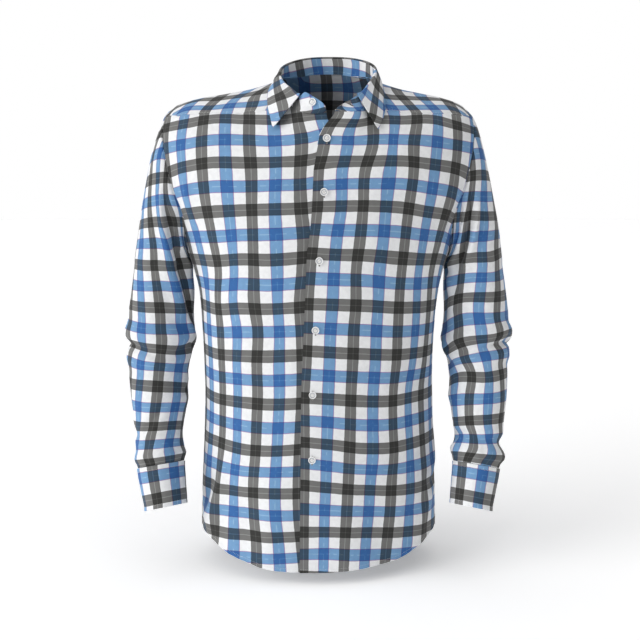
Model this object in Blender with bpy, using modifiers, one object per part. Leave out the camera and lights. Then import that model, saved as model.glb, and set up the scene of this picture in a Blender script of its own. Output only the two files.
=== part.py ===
"""Button-front shirt with long sleeves, standing open as if worn. Metres, +Z up, front towards -Y.

The origin is the middle of the neck opening at the height of the shoulder-neck points, where the
wearer's neck and shoulders carry the shirt. Every cut piece is an open surface with a thin wall,
and neighbouring pieces keep a small gap along their seams.
"""
import math

import bpy
import numpy as np
from mathutils import Matrix, Vector
from mathutils.bvhtree import BVHTree

# ---------------------------------------------------------------- driving sizes
WALL = 0.0010            # cloth, two plies at the seams
SEAM_GAP = 0.0004
EDGE_FROM_CENTRE = 0.0175   # front edge to the line of the buttons
LAP_SINK = 0.0016        # the right front runs this far below the left one
LAP_SUNK_FROM, LAP_BLEND = -0.034, 0.016   # where it starts to sink, and how softly
STAND_WALL = 0.0012

# How far the edges of the pieces draw back from their seams.
NECK_PULL = 0.0004
SIDE_PULL = 0.00045
YOKE_ARM_PULL = 0.0003
CAP_PULL = 0.0010
STAND_PULL = 0.0010

# Torso: a level row runs from the centre front round to the side seam. Below the armpit it is a
# half ring, above it the row ends at the armhole.
BODY_COLUMNS = ("z", "half_width", "side_y", "front_y", "back_y")
BODY = (
    (-0.795, 0.1990, 0.016, -0.1120, 0.1290),
    (-0.720, 0.1975, 0.016, -0.1105, 0.1290),
    (-0.640, 0.1945, 0.016, -0.1095, 0.1225),
    (-0.560, 0.1905, 0.015, -0.1090, 0.1090),
    (-0.480, 0.1885, 0.014, -0.1105, 0.0990),
    (-0.400, 0.1905, 0.012, -0.1145, 0.0980),
    (-0.330, 0.1962, 0.008, -0.1205, 0.1050),
    (-0.300, 0.2030, 0.005, -0.1236, 0.1085),
    (-0.265, 0.2125, 0.003, -0.1264, 0.1120),
    (-0.210, 0.2125, 0.003, -0.1288, 0.1150),
    (-0.158, 0.2125, 0.003, -0.1295, 0.1160),
)

# Armhole: an oval in side view, its distance from the middle given at each height.
ARM_Y, ARM_Z = 0.003, -0.158
ARM_HALF_DEPTH, ARM_HALF_HEIGHT = 0.064, 0.107
ARMHOLE_COLUMNS = ("z", "x")
ARMHOLE = (
    (-0.265, 0.2125),
    (-0.250, 0.2108),
    (-0.228, 0.2110),
    (-0.207, 0.2145),
    (-0.184, 0.2225),
    (-0.158, 0.2300),
    (-0.130, 0.2358),
    (-0.105, 0.2400),
    (-0.082, 0.2420),
    (-0.065, 0.2412),
    (-0.051, 0.2385),
)

# Shoulder line, from the middle of the neck out to the sleeve.
RIDGE_Y = 0.003
RIDGE_COLUMNS = ("x", "z")
RIDGE = (
    (0.000, 0.0275),
    (0.020, 0.0245),
    (0.040, 0.0155),
    (0.058, 0.0055),
    (0.075, -0.0025),
    (0.118, -0.0165),
    (0.156, -0.0238),
    (0.191, -0.0300),
    (0.226, -0.0415),
    (0.2385, -0.0510),
)

# The whole front leans a little: how far its centre line stands aside at each height.
LEAN_COLUMNS = ("z", "aside")
LEAN = (
    (-0.795, -0.0115),
    (-0.600, -0.0100),
    (-0.490, -0.0090),
    (-0.390, -0.0045),
    (-0.280, 0.0015),
    (-0.180, 0.0085),
    (-0.100, 0.0125),
    (0.000, 0.0140),
    (0.060, 0.0145),
)

# Neck opening in plan. Angle 0 is the centre back, 180 the centre front, and the wearer's left
# side counts up while the right side counts down.
NECK_HALF_WIDTH, NECK_HALF_LENGTH, NECK_Y = 0.0740, 0.0720, -0.0280

# Upper edge of the collar stand, which is the fold of the collar as far as the fall reaches.
STAND_COLUMNS = ("angle", "x", "y", "z")
STAND = (
    (-194.0, 0.0105, -0.1115, -0.0575),
    (-187.0, 0.0062, -0.1100, -0.0510),
    (-180.0, -0.0010, -0.1060, -0.0450),
    (-170.0, -0.0110, -0.1005, -0.0388),
    (-160.0, -0.0200, -0.0955, -0.0360),
    (-150.0, -0.0275, -0.0900, -0.0330),
    (-135.0, -0.0405, -0.0730, -0.0220),
    (-115.0, -0.0530, -0.0470, -0.0075),
    (-90.0, -0.0595, -0.0180, 0.0060),
    (-60.0, -0.0510, 0.0130, 0.0215),
    (-30.0, -0.0230, 0.0350, 0.0340),
    (0.0, 0.0150, 0.0420, 0.0378),
    (30.0, 0.0530, 0.0355, 0.0352),
    (60.0, 0.0795, 0.0130, 0.0245),
    (90.0, 0.0876, -0.0180, 0.0095),
    (115.0, 0.0835, -0.0450, -0.0050),
    (135.0, 0.0740, -0.0680, -0.0210),
    (150.0, 0.0648, -0.0840, -0.0335),
    (160.0, 0.0580, -0.0905, -0.0375),
    (170.0, 0.0500, -0.0975, -0.0430),
    (180.0, 0.0420, -0.1040, -0.0485),
    (187.0, 0.0362, -0.1085, -0.0520),
    (194.0, 0.0300, -0.1115, -0.0558),
)

# Free edge of the fall, lying on the shirt at this place and lifted off it a little.
FALL_COLUMNS = ("angle", "x", "z", "lift")
FALL = (
    (-150.0, -0.0640, -0.0900, 0.0060),
    (-138.0, -0.0685, -0.0700, 0.0050),
    (-125.0, -0.0720, -0.0530, 0.0042),
    (-108.0, -0.0740, -0.0345, 0.0034),
    (-90.0, -0.0725, -0.0155, 0.0030),
    (0.0, 0.0150, -0.0040, 0.0028),
    (90.0, 0.0985, -0.0165, 0.0030),
    (108.0, 0.0995, -0.0345, 0.0034),
    (125.0, 0.0975, -0.0530, 0.0042),
    (138.0, 0.0935, -0.0705, 0.0050),
    (150.0, 0.0870, -0.0915, 0.0060),
)
FALL_END = 150.0         # angle of the front edge of the fall on the stand
FALL_BACK = (            # angle, place over the shoulder from the ridge, 1 at the blades
    (0.0, 0.300),
    (30.0, 0.275),
    (60.0, 0.180),
    (90.0, -0.060),
)
FOLD_OUT, FOLD_UP = 0.0034, 0.0014
FALL_OVER, FALL_CREST = 0.0005, 0.0004   # the fall's two edges above the stand
FALL_BOW = 0.0035        # how far the fall bulges between its fold and its free edge
FALL_LIFT_PART = 0.7     # a sloping lift is this much up and this much outwards

YOKE_FRONT_Y = -0.080    # front yoke seam beside the neck
YOKE_FRONT_ARM = 26.0    # its angle on the armhole, from the shoulder point
YOKE_BACK_Z = -0.0960    # height of the yoke seam across the back
YOKE_FLARE = 0.6         # its columns leave the neck sideways before they turn back

# Above the first button both fronts fall open: the shift of their edges away from the middle.
OPEN_COLUMNS = ("z", "left", "right")
OPEN = (
    (-0.150, 0.0000, 0.0000),
    (-0.134, 0.0020, 0.0005),
    (-0.115, 0.0040, 0.0020),
    (-0.100, 0.0060, 0.0050),
    (-0.086, 0.0145, 0.0125),
    (-0.074, 0.0265, 0.0175),
    (-0.062, 0.0300, 0.0190),
    (-0.040, 0.0300, 0.0190),
)
OPEN_REACH = 0.072
OPEN_FROM = 0.004        # the shift is whole up to this far past the centre line
OPEN_FORWARD, OPEN_UP = 0.34, 0.22

# Hem: height around one half of the body, 0 at the centre and 1 at the side seam.
HEM_COLUMNS = ("around", "left_z", "right_z", "back_z")
HEM = (
    (0.00, -0.7722, -0.7722, -0.7880),
    (0.20, -0.7707, -0.7710, -0.7865),
    (0.33, -0.7678, -0.7670, -0.7825),
    (0.45, -0.7643, -0.7600, -0.7770),
    (0.56, -0.7580, -0.7515, -0.7695),
    (0.65, -0.7480, -0.7440, -0.7615),
    (0.74, -0.7400, -0.7385, -0.7530),
    (0.83, -0.7345, -0.7345, -0.7450),
    (0.92, -0.7290, -0.7290, -0.7340),
    (1.00, -0.7235, -0.7235, -0.7235),
)

# Sleeve below the armpit: rings square to the arm. Tilt lifts the inner side, pitch the front.
SLEEVE_COLUMNS = ("z", "x", "y", "half_width", "half_depth", "tilt", "pitch")
SLEEVE = (
    (-0.292, 0.2530, 0.010, 0.0465, 0.0640, 7.0, 0.0),
    (-0.330, 0.2555, 0.012, 0.0495, 0.0620, 6.0, 0.0),
    (-0.370, 0.2595, 0.013, 0.0520, 0.0590, 5.0, 2.0),
    (-0.398, 0.2605, 0.012, 0.0550, 0.0570, 2.0, 4.0),
    (-0.416, 0.2590, 0.010, 0.0565, 0.0550, 0.0, 5.0),
    (-0.440, 0.2617, 0.006, 0.0518, 0.0540, -1.0, 7.0),
    (-0.478, 0.2640, -0.001, 0.0475, 0.0520, -2.0, 9.0),
    (-0.512, 0.2620, -0.008, 0.0465, 0.0500, -3.0, 11.0),
    (-0.544, 0.2618, -0.015, 0.0420, 0.0475, -5.0, 12.0),
    (-0.576, 0.2615, -0.023, 0.0382, 0.0450, -7.0, 13.0),
    (-0.599, 0.2592, -0.029, 0.0400, 0.0440, -9.0, 14.0),
    (-0.6190, 0.2571, -0.0350, 0.0382, 0.0415, -10.0, 15.0),
)
# Direction in which the cap leaves the armhole: outwards, more at the crown, spreading to the
# front and back, and downwards, steeper at the sides. Then how strongly its two ends pull.
CAP_OUT, CAP_CROWN, CAP_SPREAD, CAP_DOWN, CAP_STEEP = 0.35, 0.20, -0.25, -0.80, -0.20
CAP_START_PULL, CAP_END_PULL = 0.55, 0.90

CUFF_COLUMNS = ("z", "x", "y", "half_width", "half_depth", "tilt", "pitch")
CUFF = (
    (-0.6196, 0.2571, -0.0352, 0.0390, 0.0422, -10.0, 15.0),
    (-0.6530, 0.2525, -0.0425, 0.0370, 0.0402, -11.0, 16.0),
    (-0.6860, 0.2478, -0.0500, 0.0350, 0.0385, -12.0, 17.0),
)
CUFF_LAP = 0.026
CUFF_LAP_LIFT = 0.0017
CUFF_LIFT_FROM, CUFF_LIFT_OVER = 335.0, 25.0   # degrees along the band, where its end lifts
CUFF_OPENING = 262.0     # angle round the wrist, 0 outside, 90 front, 270 back
CUFF_MIDDLE_Z = -0.650

# Strip over the sleeve's slit: its share of the whole width at each height.
PLACKET_WIDTH, PLACKET_LIFT = 0.024, 0.0009
PLACKET_ARM_RADIUS = 0.047
PLACKET = (
    (-0.490, 0.12),
    (-0.501, 1.0),
    (-0.540, 1.0),
    (-0.576, 1.0),
    (-0.599, 1.0),
    (-0.6178, 1.0),
)

BUTTON_RADIUS, BUTTON_HEIGHT = 0.00575, 0.0026
BUTTON_TURNS = 14
BUTTON_OUTLINE = (       # share of the radius, share of the height
    (0.0, 0.55),
    (0.58, 0.55),
    (0.78, 1.0),
    (0.92, 0.92),
    (1.0, 0.45),
    (0.80, 0.0),
    (0.0, 0.0),
)
BUTTON_HEIGHTS = (-0.1030, -0.1810, -0.2820, -0.3875, -0.4880, -0.5905)
COLLAR_BUTTON = (-0.0085, -0.115, -0.0495)
CUFF_BUTTON_BACK = 12.0  # degrees round the wrist from the end of the lap to its button
BUTTON_START = 0.030     # a button is brought to the cloth from this far off

CORNER_AROUND = 0.28     # share of a front's rows that hangs from its neck edge
EDGE_MEASURED_Z = -0.450

ARM_STEPS = 9            # rows between the yoke seam and the armpit
SIDE_STEPS = 11          # rows between the armpit and the hem
NECK_STEPS = 4           # columns between the centre front and the yoke seam
SHOULDER_STEPS = 5       # columns between the neck and the armhole
YOKE_STEPS = 5           # rows of the yoke
YOKE_NECK_STEPS = 7      # columns of the yoke round half the neck
BACK_STEPS = 8           # columns of half the back
CAP_STEPS = 5            # rows of the sleeve cap
CUFF_STEPS = 22
CUFF_ROWS = 4
STAND_ROWS = 4
FALL_STEPS = 24

WHITE = (0.85, 0.85, 0.84)
BLUE = (0.16, 0.33, 0.63)
GREY = (0.15, 0.15, 0.14)
PEARL = (0.9, 0.9, 0.9)


# ---------------------------------------------------------------- tables
def column(table, columns, name):
    """A smooth curve through one column of a table, over its first column."""
    rows = sorted(table)
    at = np.array([row[0] for row in rows])
    value = np.array([row[columns.index(name)] for row in rows])
    slope = np.diff(value) / np.diff(at)
    bend = np.concatenate(([0.0], (slope[:-1] + slope[1:]) / 2, [0.0]))
    bend[1:-1][slope[:-1] * slope[1:] < 0] *= 0.3

    def read(place):
        place = np.clip(np.asarray(place, float), at[0], at[-1])
        i = np.clip(np.searchsorted(at, place) - 1, 0, len(at) - 2)
        width = at[i + 1] - at[i]
        t = (place - at[i]) / width
        return (
            value[i] * (2 * t**3 - 3 * t**2 + 1)
            + value[i + 1] * (3 * t**2 - 2 * t**3)
            + bend[i] * width * (t**3 - 2 * t**2 + t)
            + bend[i + 1] * width * (t**3 - t**2)
        )

    return read


body = {name: column(BODY, BODY_COLUMNS, name) for name in BODY_COLUMNS[1:]}
sleeve = {name: column(SLEEVE, SLEEVE_COLUMNS, name) for name in SLEEVE_COLUMNS[1:]}
cuff = {name: column(CUFF, CUFF_COLUMNS, name) for name in CUFF_COLUMNS[1:]}
stand = {name: column(STAND, STAND_COLUMNS, name) for name in STAND_COLUMNS[1:]}
fall = {name: column(FALL, FALL_COLUMNS, name) for name in FALL_COLUMNS[1:]}
hem = {name: column(HEM, HEM_COLUMNS, name) for name in HEM_COLUMNS[1:]}
armhole_x = column(ARMHOLE, ARMHOLE_COLUMNS, "x")
ridge_z = column(RIDGE, RIDGE_COLUMNS, "z")
lean = column(LEAN, LEAN_COLUMNS, "aside")
fall_back = column(FALL_BACK, ("angle", "way"), "way")
opened = {name: column(OPEN, OPEN_COLUMNS, name) for name in OPEN_COLUMNS[1:]}


# ---------------------------------------------------------------- the torso form
ARMPIT_Z = ARM_Z - ARM_HALF_HEIGHT
OVER_HEIGHT = 0.17       # level units given to the way from ARM_Z up to the ridge
CORNER = 0.60            # how far the rows reach into their corner
ROUND = 0.5523           # reach of the handles of a round quarter
BACK_UP, BACK_FLAT = 0.60, 0.50     # the same handles at the middle of the back
FRONT_UP, FRONT_FLAT = 0.30, 0.45   # and at the middle of the chest


def cubic(t, p0, p1, p2, p3):
    s = 1 - t
    return s**3 * p0 + 3 * s * s * t * p1 + 3 * s * t * t * p2 + t**3 * p3


def half_ring(t):
    """Across and forward parts of a quarter of a ring, from the centre line to the side."""
    return cubic(t, 0, CORNER, 1, 1), cubic(t, 0, 0, 1 - CORNER, 1)


def row_points(z, t, back):
    """A point at parameter t of the level row at height z, from the centre to its outer end."""
    middle = body["back_y"](z) if back else body["front_y"](z)
    rise = np.clip((z - ARM_Z) / ARM_HALF_HEIGHT, -1, 0)
    arm_y = ARM_Y + (1 if back else -1) * ARM_HALF_DEPTH * np.sqrt(1 - rise**2)
    above = z > ARMPIT_Z
    cut = np.where(above, (arm_y - middle) / (body["side_y"](z) - middle), 1.0)
    sample = np.linspace(0, 1, 121)
    end = np.interp(cut, half_ring(sample)[1], sample)
    width = np.where(above, armhole_x(z) / half_ring(end)[0], body["half_width"](z))
    across, forward = half_ring(t * end)
    return across * width, middle + (body["side_y"](z) - middle) * forward


def row_length(z, back):
    t = np.linspace(0, 1, 41)
    x, y = row_points(np.full_like(t, z), t, back)
    return float(np.hypot(np.diff(x), np.diff(y)).sum())


def row_at(z, around, back):
    """Points of rows at heights z, each at its fraction of the row's own length."""
    z, around = np.broadcast_arrays(np.asarray(z, float), np.asarray(around, float))
    t = np.linspace(0, 1, 41)
    x, y = row_points(z[..., None], np.broadcast_to(t, z.shape + t.shape), back)
    step = np.hypot(np.diff(x), np.diff(y))
    run = np.concatenate((np.zeros(z.shape + (1,)), np.cumsum(step, -1)), -1)
    wanted = np.abs(around) * run[..., -1]
    flat_run, flat_wanted = run.reshape(-1, len(t)), wanted.ravel()
    t_at = np.array([np.interp(w, r, t) for w, r in zip(flat_wanted, flat_run)]).reshape(z.shape)
    x, y = row_points(z, t_at, back)
    return np.stack((x * np.where(around < 0, -1, 1), y, z), -1)


def chest_depth(across, back):
    """Front or back of the row at ARM_Z, over the fraction of its width."""
    t = np.linspace(0, 1, 201)
    x, y = row_points(np.full_like(t, ARM_Z), t, back)
    return np.interp(np.abs(across), x / x[-1], y)


def over(across, way, back):
    """A point above ARM_Z. Way is 0 on the shoulder ridge and 1 at ARM_Z, down its own side."""
    across, way = np.broadcast_arrays(np.asarray(across, float), np.asarray(way, float))
    t = 1 - way
    part = np.clip(np.abs(across), 0, 1) ** 2
    low_y = chest_depth(across, back)
    up, flat = (BACK_UP, BACK_FLAT) if back else (FRONT_UP, FRONT_FLAT)
    up = up + (ROUND - up) * part
    flat = flat + (ROUND - flat) * part
    arm_z = cubic(t, ARM_Z, ARM_Z + ROUND * ARM_HALF_HEIGHT, ARM_Z + ARM_HALF_HEIGHT,
                  ARM_Z + ARM_HALF_HEIGHT)
    x = across * armhole_x(arm_z)
    high = ridge_z(np.abs(across) * armhole_x(ARM_Z + ARM_HALF_HEIGHT))
    y = cubic(t, low_y, low_y, RIDGE_Y + flat * (low_y - RIDGE_Y), RIDGE_Y)
    z = cubic(t, ARM_Z, ARM_Z + up * (high - ARM_Z), high, high)
    return np.stack((x, y, z), -1)


def level_at(level, around, back):
    """The form at a level: a height up to ARM_Z, and above it the way over the shoulder."""
    level, around = np.broadcast_arrays(np.asarray(level, float), np.asarray(around, float))
    low = row_at(np.minimum(level, ARM_Z), around, back)
    at_chest = row_at(np.full(level.shape, ARM_Z), around, back)
    across = at_chest[..., 0] / armhole_x(ARM_Z)
    high = over(across, 1 - np.clip((level - ARM_Z) / OVER_HEIGHT, 0, 1), back)
    return np.where((level <= ARM_Z)[..., None], low, high)


def way_of_y(across, y, back):
    """How far down its side the form over `across` reaches the depth y."""
    low, high = 0.0, 1.0
    for _ in range(40):
        middle = (low + high) / 2
        here = over(across, middle, back)[..., 1]
        if (here < y) == back:
            low = middle
        else:
            high = middle
    return (low + high) / 2


def way_of_z(across, z, back):
    """How far down its side the form over `across` reaches the height z."""
    low, high = 0.0, 1.0
    for _ in range(40):
        middle = (low + high) / 2
        if over(across, middle, back)[2] > z:
            low = middle
        else:
            high = middle
    return (low + high) / 2


def neck_place(angle):
    """Across, way and side of the neck seam at an angle round the neck."""
    turn = math.radians(angle)
    x = NECK_HALF_WIDTH * math.sin(turn)
    y = NECK_Y + NECK_HALF_LENGTH * math.cos(turn)
    back = y > RIDGE_Y
    across, way = x / armhole_x(ARM_Z + ARM_HALF_HEIGHT), 0.3
    for _ in range(6):
        way = way_of_y(across, y, back)
        across = across * x / over(across, way, back)[0] if abs(x) > 1e-6 else 0.0
    return float(across), way, back


def settle(points, side=0):
    """Leans the form aside. Side 1 or -1 also lets the left or right front fall open."""
    points = np.array(points, float)
    x, z = points[..., 0].copy(), points[..., 2].copy()
    outer = np.where(z > ARMPIT_Z, armhole_x(z), body["half_width"](z))
    points[..., 0] += lean(z) * np.clip(1 - (np.abs(x) / outer) ** 2, 0, 1)
    if side:
        shift = opened["left" if side > 0 else "right"](z)
        near = np.clip(1 - (x * side - OPEN_FROM) / OPEN_REACH, 0, 1)
        near = near * near * (3 - 2 * near) * (points[..., 1] < 0)
        points[..., 0] += side * shift * near
        points[..., 1] -= OPEN_FORWARD * shift * near
        points[..., 2] += OPEN_UP * shift * near
    return points


# ---------------------------------------------------------------- making solids
def material(name, colour, roughness=0.8):
    finish = bpy.data.materials.new(name)
    finish.use_nodes = True
    shader = finish.node_tree.nodes["Principled BSDF"]
    shader.inputs["Base Color"].default_value = (*colour, 1.0)
    shader.inputs["Roughness"].default_value = roughness
    shader.inputs["Metallic"].default_value = 0.0
    return finish


def add_sheet(name, grid, colour, outward, wall=WALL, closed=False, inward=True):
    """An open surface through a grid of points, given its wall by Solidify.

    Outward is a point inside the shirt, which the faces turn away from."""
    grid = np.asarray(grid, float)
    rows, columns = grid.shape[:2]
    across = columns if closed else columns - 1
    faces = []
    for i in range(rows - 1):
        for j in range(across):
            k = (j + 1) % columns
            faces.append((i * columns + j, i * columns + k, (i + 1) * columns + k,
                          (i + 1) * columns + j))
    mesh = bpy.data.meshes.new(name)
    mesh.from_pydata(grid.reshape(-1, 3).tolist(), [], faces)
    facing = sum(f.normal.dot(f.center - Vector(outward)) * f.area for f in mesh.polygons)
    if facing < 0:
        mesh.flip_normals()
    mesh.shade_smooth()
    sheet = bpy.data.objects.new(name, mesh)
    sheet.data.materials.append(material(name, colour))
    shirt.objects.link(sheet)
    shell = sheet.modifiers.new("wall", "SOLIDIFY")
    shell.thickness = wall
    shell.offset = -1.0 if inward else 1.0
    shell.use_even_offset = True


def pull_in(grid, top=0.0, bottom=0.0, first=0.0, last=0.0):
    """Moves the edges of a grid towards its inside, for the gaps along the seams."""
    grid = np.array(grid, float)

    def towards(edge, inside, distance):
        way = inside - edge
        return edge + way / np.linalg.norm(way, axis=-1, keepdims=True) * distance

    if top:
        grid[0] = towards(grid[0], grid[1], top)
    if bottom:
        grid[-1] = towards(grid[-1], grid[-2], bottom)
    if first:
        grid[:, 0] = towards(grid[:, 0], grid[:, 1], first)
    if last:
        grid[:, -1] = towards(grid[:, -1], grid[:, -2], last)
    return grid


def grid_normals(grid):
    normal = np.cross(np.gradient(grid, axis=1), np.gradient(grid, axis=0))
    return normal / np.linalg.norm(normal, axis=-1, keepdims=True)


# ---------------------------------------------------------------- shared seam points
def arm_level(angle):
    """Level on the armhole for an angle from the shoulder point, 90 half way down."""
    if angle >= 90:
        return ARM_Z + ARM_HALF_HEIGHT * math.cos(math.radians(angle))
    return ARM_Z + OVER_HEIGHT * (1 - angle / 90)


YOKE_BACK_ARM = 90 * way_of_z(1.0, YOKE_BACK_Z, True)
FRONT_ARM_ANGLES = np.linspace(YOKE_FRONT_ARM, 180, ARM_STEPS + 1)
BACK_ARM_ANGLES = np.linspace(YOKE_BACK_ARM, 180, ARM_STEPS)
CORNER_ANGLE = math.degrees(math.acos((YOKE_FRONT_Y - NECK_Y) / NECK_HALF_LENGTH))
CORNER_ACROSS = neck_place(CORNER_ANGLE)[0]
NECK_ANGLES = np.linspace(180, CORNER_ANGLE, NECK_STEPS + 1)
SHOULDER_ACROSS = np.linspace(CORNER_ACROSS, 1, SHOULDER_STEPS + 1)
EDGE_ANGLE = 180 + math.degrees(EDGE_FROM_CENTRE / NECK_HALF_WIDTH)


def seam_way(across):
    """Way of the front yoke seam: level beside the neck, and lower at the armhole."""
    part = (across - CORNER_ACROSS) / (1 - CORNER_ACROSS)
    near = way_of_y(across, YOKE_FRONT_Y, False)
    return near + (YOKE_FRONT_ARM / 90 - near) * part**1.5


def side_levels(arm_angles, hem_z):
    arm = [arm_level(a) for a in arm_angles]
    return arm + list(np.linspace(ARMPIT_Z, hem_z, SIDE_STEPS + 1)[1:])


def panel(tops, arounds, arm_angles, hem_z, back):
    """A grid of a front or back: each column falls from its own top to the hem."""
    side = side_levels(arm_angles, hem_z[-1])
    arm_steps = len(arm_angles) - 1
    shares = [(side[0] - level) / (side[0] - ARMPIT_Z) for level in side[: arm_steps + 1]]
    grid = np.zeros((len(side), len(arounds), 3))
    for j, around in enumerate(arounds):
        top_across, top_level = tops[j]
        low = np.linspace(ARMPIT_Z, hem_z[j], SIDE_STEPS + 1)[1:]
        even = 1 - abs(around) ** 3
        high = [top_level + (ARMPIT_Z - top_level) * (s + (i / arm_steps - s) * even)
                for i, s in enumerate(shares)]
        levels = np.array(high + list(low))
        if j == len(arounds) - 1:
            levels = np.array(side)
        here = level_at(levels, around, back)
        low_across = level_at(ARM_Z, around, back)[0] / armhole_x(ARM_Z)
        for i, level in enumerate(levels):
            if level > ARM_Z:
                part = (level - ARM_Z) / (top_level - ARM_Z)
                across = low_across + (top_across - low_across) * part
                here[i] = over(across, 1 - (level - ARM_Z) / OVER_HEIGHT, back)
        grid[:, j] = here
    return grid


# ---------------------------------------------------------------- the cut pieces
def front_grid(hem_side):
    """A front from its edge, just past the centre line, out to the side seam."""
    tops, arounds = [], []
    edge_around = -EDGE_FROM_CENTRE / row_length(EDGE_MEASURED_Z, False)
    across, way, _ = neck_place(EDGE_ANGLE)
    tops.append((across, ARM_Z + OVER_HEIGHT * (1 - way)))
    arounds.append(edge_around)
    for k, angle in enumerate(NECK_ANGLES):
        across, way, _ = neck_place(angle)
        tops.append((across, ARM_Z + OVER_HEIGHT * (1 - way)))
        arounds.append(CORNER_AROUND * k / NECK_STEPS)
    for k, across in enumerate(SHOULDER_ACROSS[1:], 1):
        tops.append((across, ARM_Z + OVER_HEIGHT * (1 - seam_way(across))))
        arounds.append(CORNER_AROUND + (1 - CORNER_AROUND) * k / SHOULDER_STEPS)
    hem_z = [float(hem[hem_side](abs(a))) for a in arounds]
    return panel(tops, arounds, FRONT_ARM_ANGLES, hem_z, False)


def mirrored(grid):
    flipped = np.array(grid)
    flipped[..., 0] *= -1
    return flipped


def make_fronts():
    left = settle(front_grid("left_z"), side=1)
    left = pull_in(left, top=NECK_PULL, last=SIDE_PULL)
    add_sheet("front_left", left, WHITE, outward=(0.10, 0.05, -0.4))

    lap = mirrored(front_grid("right_z"))
    sunk = np.array(lap)
    normal = grid_normals(lap)
    normal *= np.where(normal[..., 1:2] > 0, -1, 1)
    reach = np.clip((lap[..., 0] - LAP_SUNK_FROM) / LAP_BLEND, 0, 1)[..., None]
    sunk -= normal * LAP_SINK * reach * reach * (3 - 2 * reach)
    right = pull_in(settle(sunk, side=-1), top=NECK_PULL, last=SIDE_PULL)
    add_sheet("front_right", right, BLUE, outward=(-0.10, 0.05, -0.4))
    return left


def make_back():
    arounds = np.linspace(0, 1, BACK_STEPS + 1)
    low_across = [float(level_at(ARM_Z, a, True)[0] / armhole_x(ARM_Z)) for a in arounds]
    tops = [(a, ARM_Z + OVER_HEIGHT * (1 - back_seam_way(a))) for a in low_across]
    hem_z = [float(hem["back_z"](a)) for a in arounds]
    one = panel(tops, arounds, BACK_ARM_ANGLES, hem_z, True)
    whole = np.concatenate((mirrored(one)[:, :0:-1], one), 1)
    whole = pull_in(settle(whole), top=NECK_PULL, first=SIDE_PULL, last=SIDE_PULL)
    add_sheet("back", whole, BLUE, outward=(0, -0.05, -0.4))


def back_seam_way(across):
    return way_of_z(abs(across), YOKE_BACK_Z, True)


def make_yoke():
    """From the front seams over the shoulders to the seam across the back."""
    neck_angles = np.linspace(CORNER_ANGLE, 0, YOKE_NECK_STEPS + 1)
    inner = []
    for across in SHOULDER_ACROSS[:0:-1]:
        inner.append((across, -seam_way(across)))
    for angle in neck_angles:
        across, way, back = neck_place(angle)
        inner.append((across, way if back else -way))
    arounds = np.linspace(1, 0, len(inner))
    outer = []
    for around in arounds:
        across = float(level_at(ARM_Z, around, True)[0] / armhole_x(ARM_Z))
        outer.append((across, back_seam_way(across)))
    half = np.zeros((YOKE_STEPS + 1, len(inner), 3))
    for j, (start, end) in enumerate(zip(inner, outer)):
        for i, part in enumerate(np.linspace(0, 1, YOKE_STEPS + 1)):
            across = start[0] + (end[0] - start[0]) * part**YOKE_FLARE
            way = start[1] + (end[1] - start[1]) * part
            half[i, j] = over(across, abs(way), way > 0)
    left, right = settle(half, side=1), settle(mirrored(half), side=-1)
    whole = np.concatenate((left, right[:, -2::-1]), 1)
    whole = pull_in(whole, top=NECK_PULL, bottom=NECK_PULL, first=YOKE_ARM_PULL,
                    last=YOKE_ARM_PULL)
    add_sheet("yoke", whole, GREY, outward=(0, 0, -0.5))


def arm_ring():
    """Points of the armhole seam, from the shoulder point to the front, armpit and back."""
    yoke = np.linspace(-YOKE_FRONT_ARM, YOKE_BACK_ARM, YOKE_STEPS + 1)
    points, angles = [], []
    for angle in FRONT_ARM_ANGLES:
        points.append(level_at(arm_level(angle), 1.0, False))
        angles.append(angle)
    for angle in BACK_ARM_ANGLES[-2::-1]:
        points.append(level_at(arm_level(angle), 1.0, True))
        angles.append(360 - angle)
    for angle in yoke[-2:0:-1]:
        points.append(over(1.0, abs(angle) / 90, angle > 0))
        angles.append(360 - angle)
    return np.array(points), np.array(angles) % 360


def ring_point(table, z, turn, lift=0.0):
    """A point of a sleeve or cuff ring; turn 0 outside, 90 front, 180 inside, 270 back."""
    turn = np.radians(turn)
    tilt, pitch = np.radians(table["tilt"](z)), np.radians(table["pitch"](z))
    across = (table["half_width"](z) + lift) * np.cos(turn)
    ahead = (table["half_depth"](z) + lift) * np.sin(turn)
    return np.stack((
        table["x"](z) + across * np.cos(tilt),
        table["y"](z) - ahead * np.cos(pitch),
        z + across * np.sin(tilt) + ahead * np.sin(pitch),
    ), -1)


def sleeve_grid():
    """Rows of the sleeve: a cap that blends from the armhole into the first ring, then rings."""
    ring, turns = arm_ring()
    low = ring_point(sleeve, np.full(len(turns), SLEEVE[0][0]), turns)
    run = low - ring
    length = np.linalg.norm(run, axis=-1, keepdims=True)
    top = np.cos(np.radians(turns))[:, None]
    front = np.sin(np.radians(turns))[:, None]
    start = np.concatenate((CAP_OUT + CAP_CROWN * top, CAP_SPREAD * front,
                            CAP_DOWN + CAP_STEEP * np.abs(front)), 1)
    start /= np.linalg.norm(start, axis=-1, keepdims=True)
    tilt = math.radians(float(sleeve["tilt"](SLEEVE[0][0])))
    end = np.array((math.sin(tilt), 0, -math.cos(tilt)))
    rows = []
    for t in np.linspace(0, 1, CAP_STEPS + 1):
        rows.append(
            ring * (2 * t**3 - 3 * t**2 + 1) + low * (3 * t**2 - 2 * t**3)
            + start * length * (t**3 - 2 * t**2 + t) * CAP_START_PULL
            + end * length * (t**3 - t**2) * CAP_END_PULL
        )
    for ring_row in SLEEVE[1:]:
        rows.append(ring_point(sleeve, np.full(len(turns), ring_row[0]), turns))
    return np.array(rows)


def make_sleeves():
    grid = pull_in(sleeve_grid(), top=CAP_PULL)
    for side, sign in (("left", 1), ("right", -1)):
        add_sheet(f"sleeve_{side}", grid * (sign, 1, 1), BLUE, closed=True,
                  outward=(0.26 * sign, 0.0, -0.35))


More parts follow.
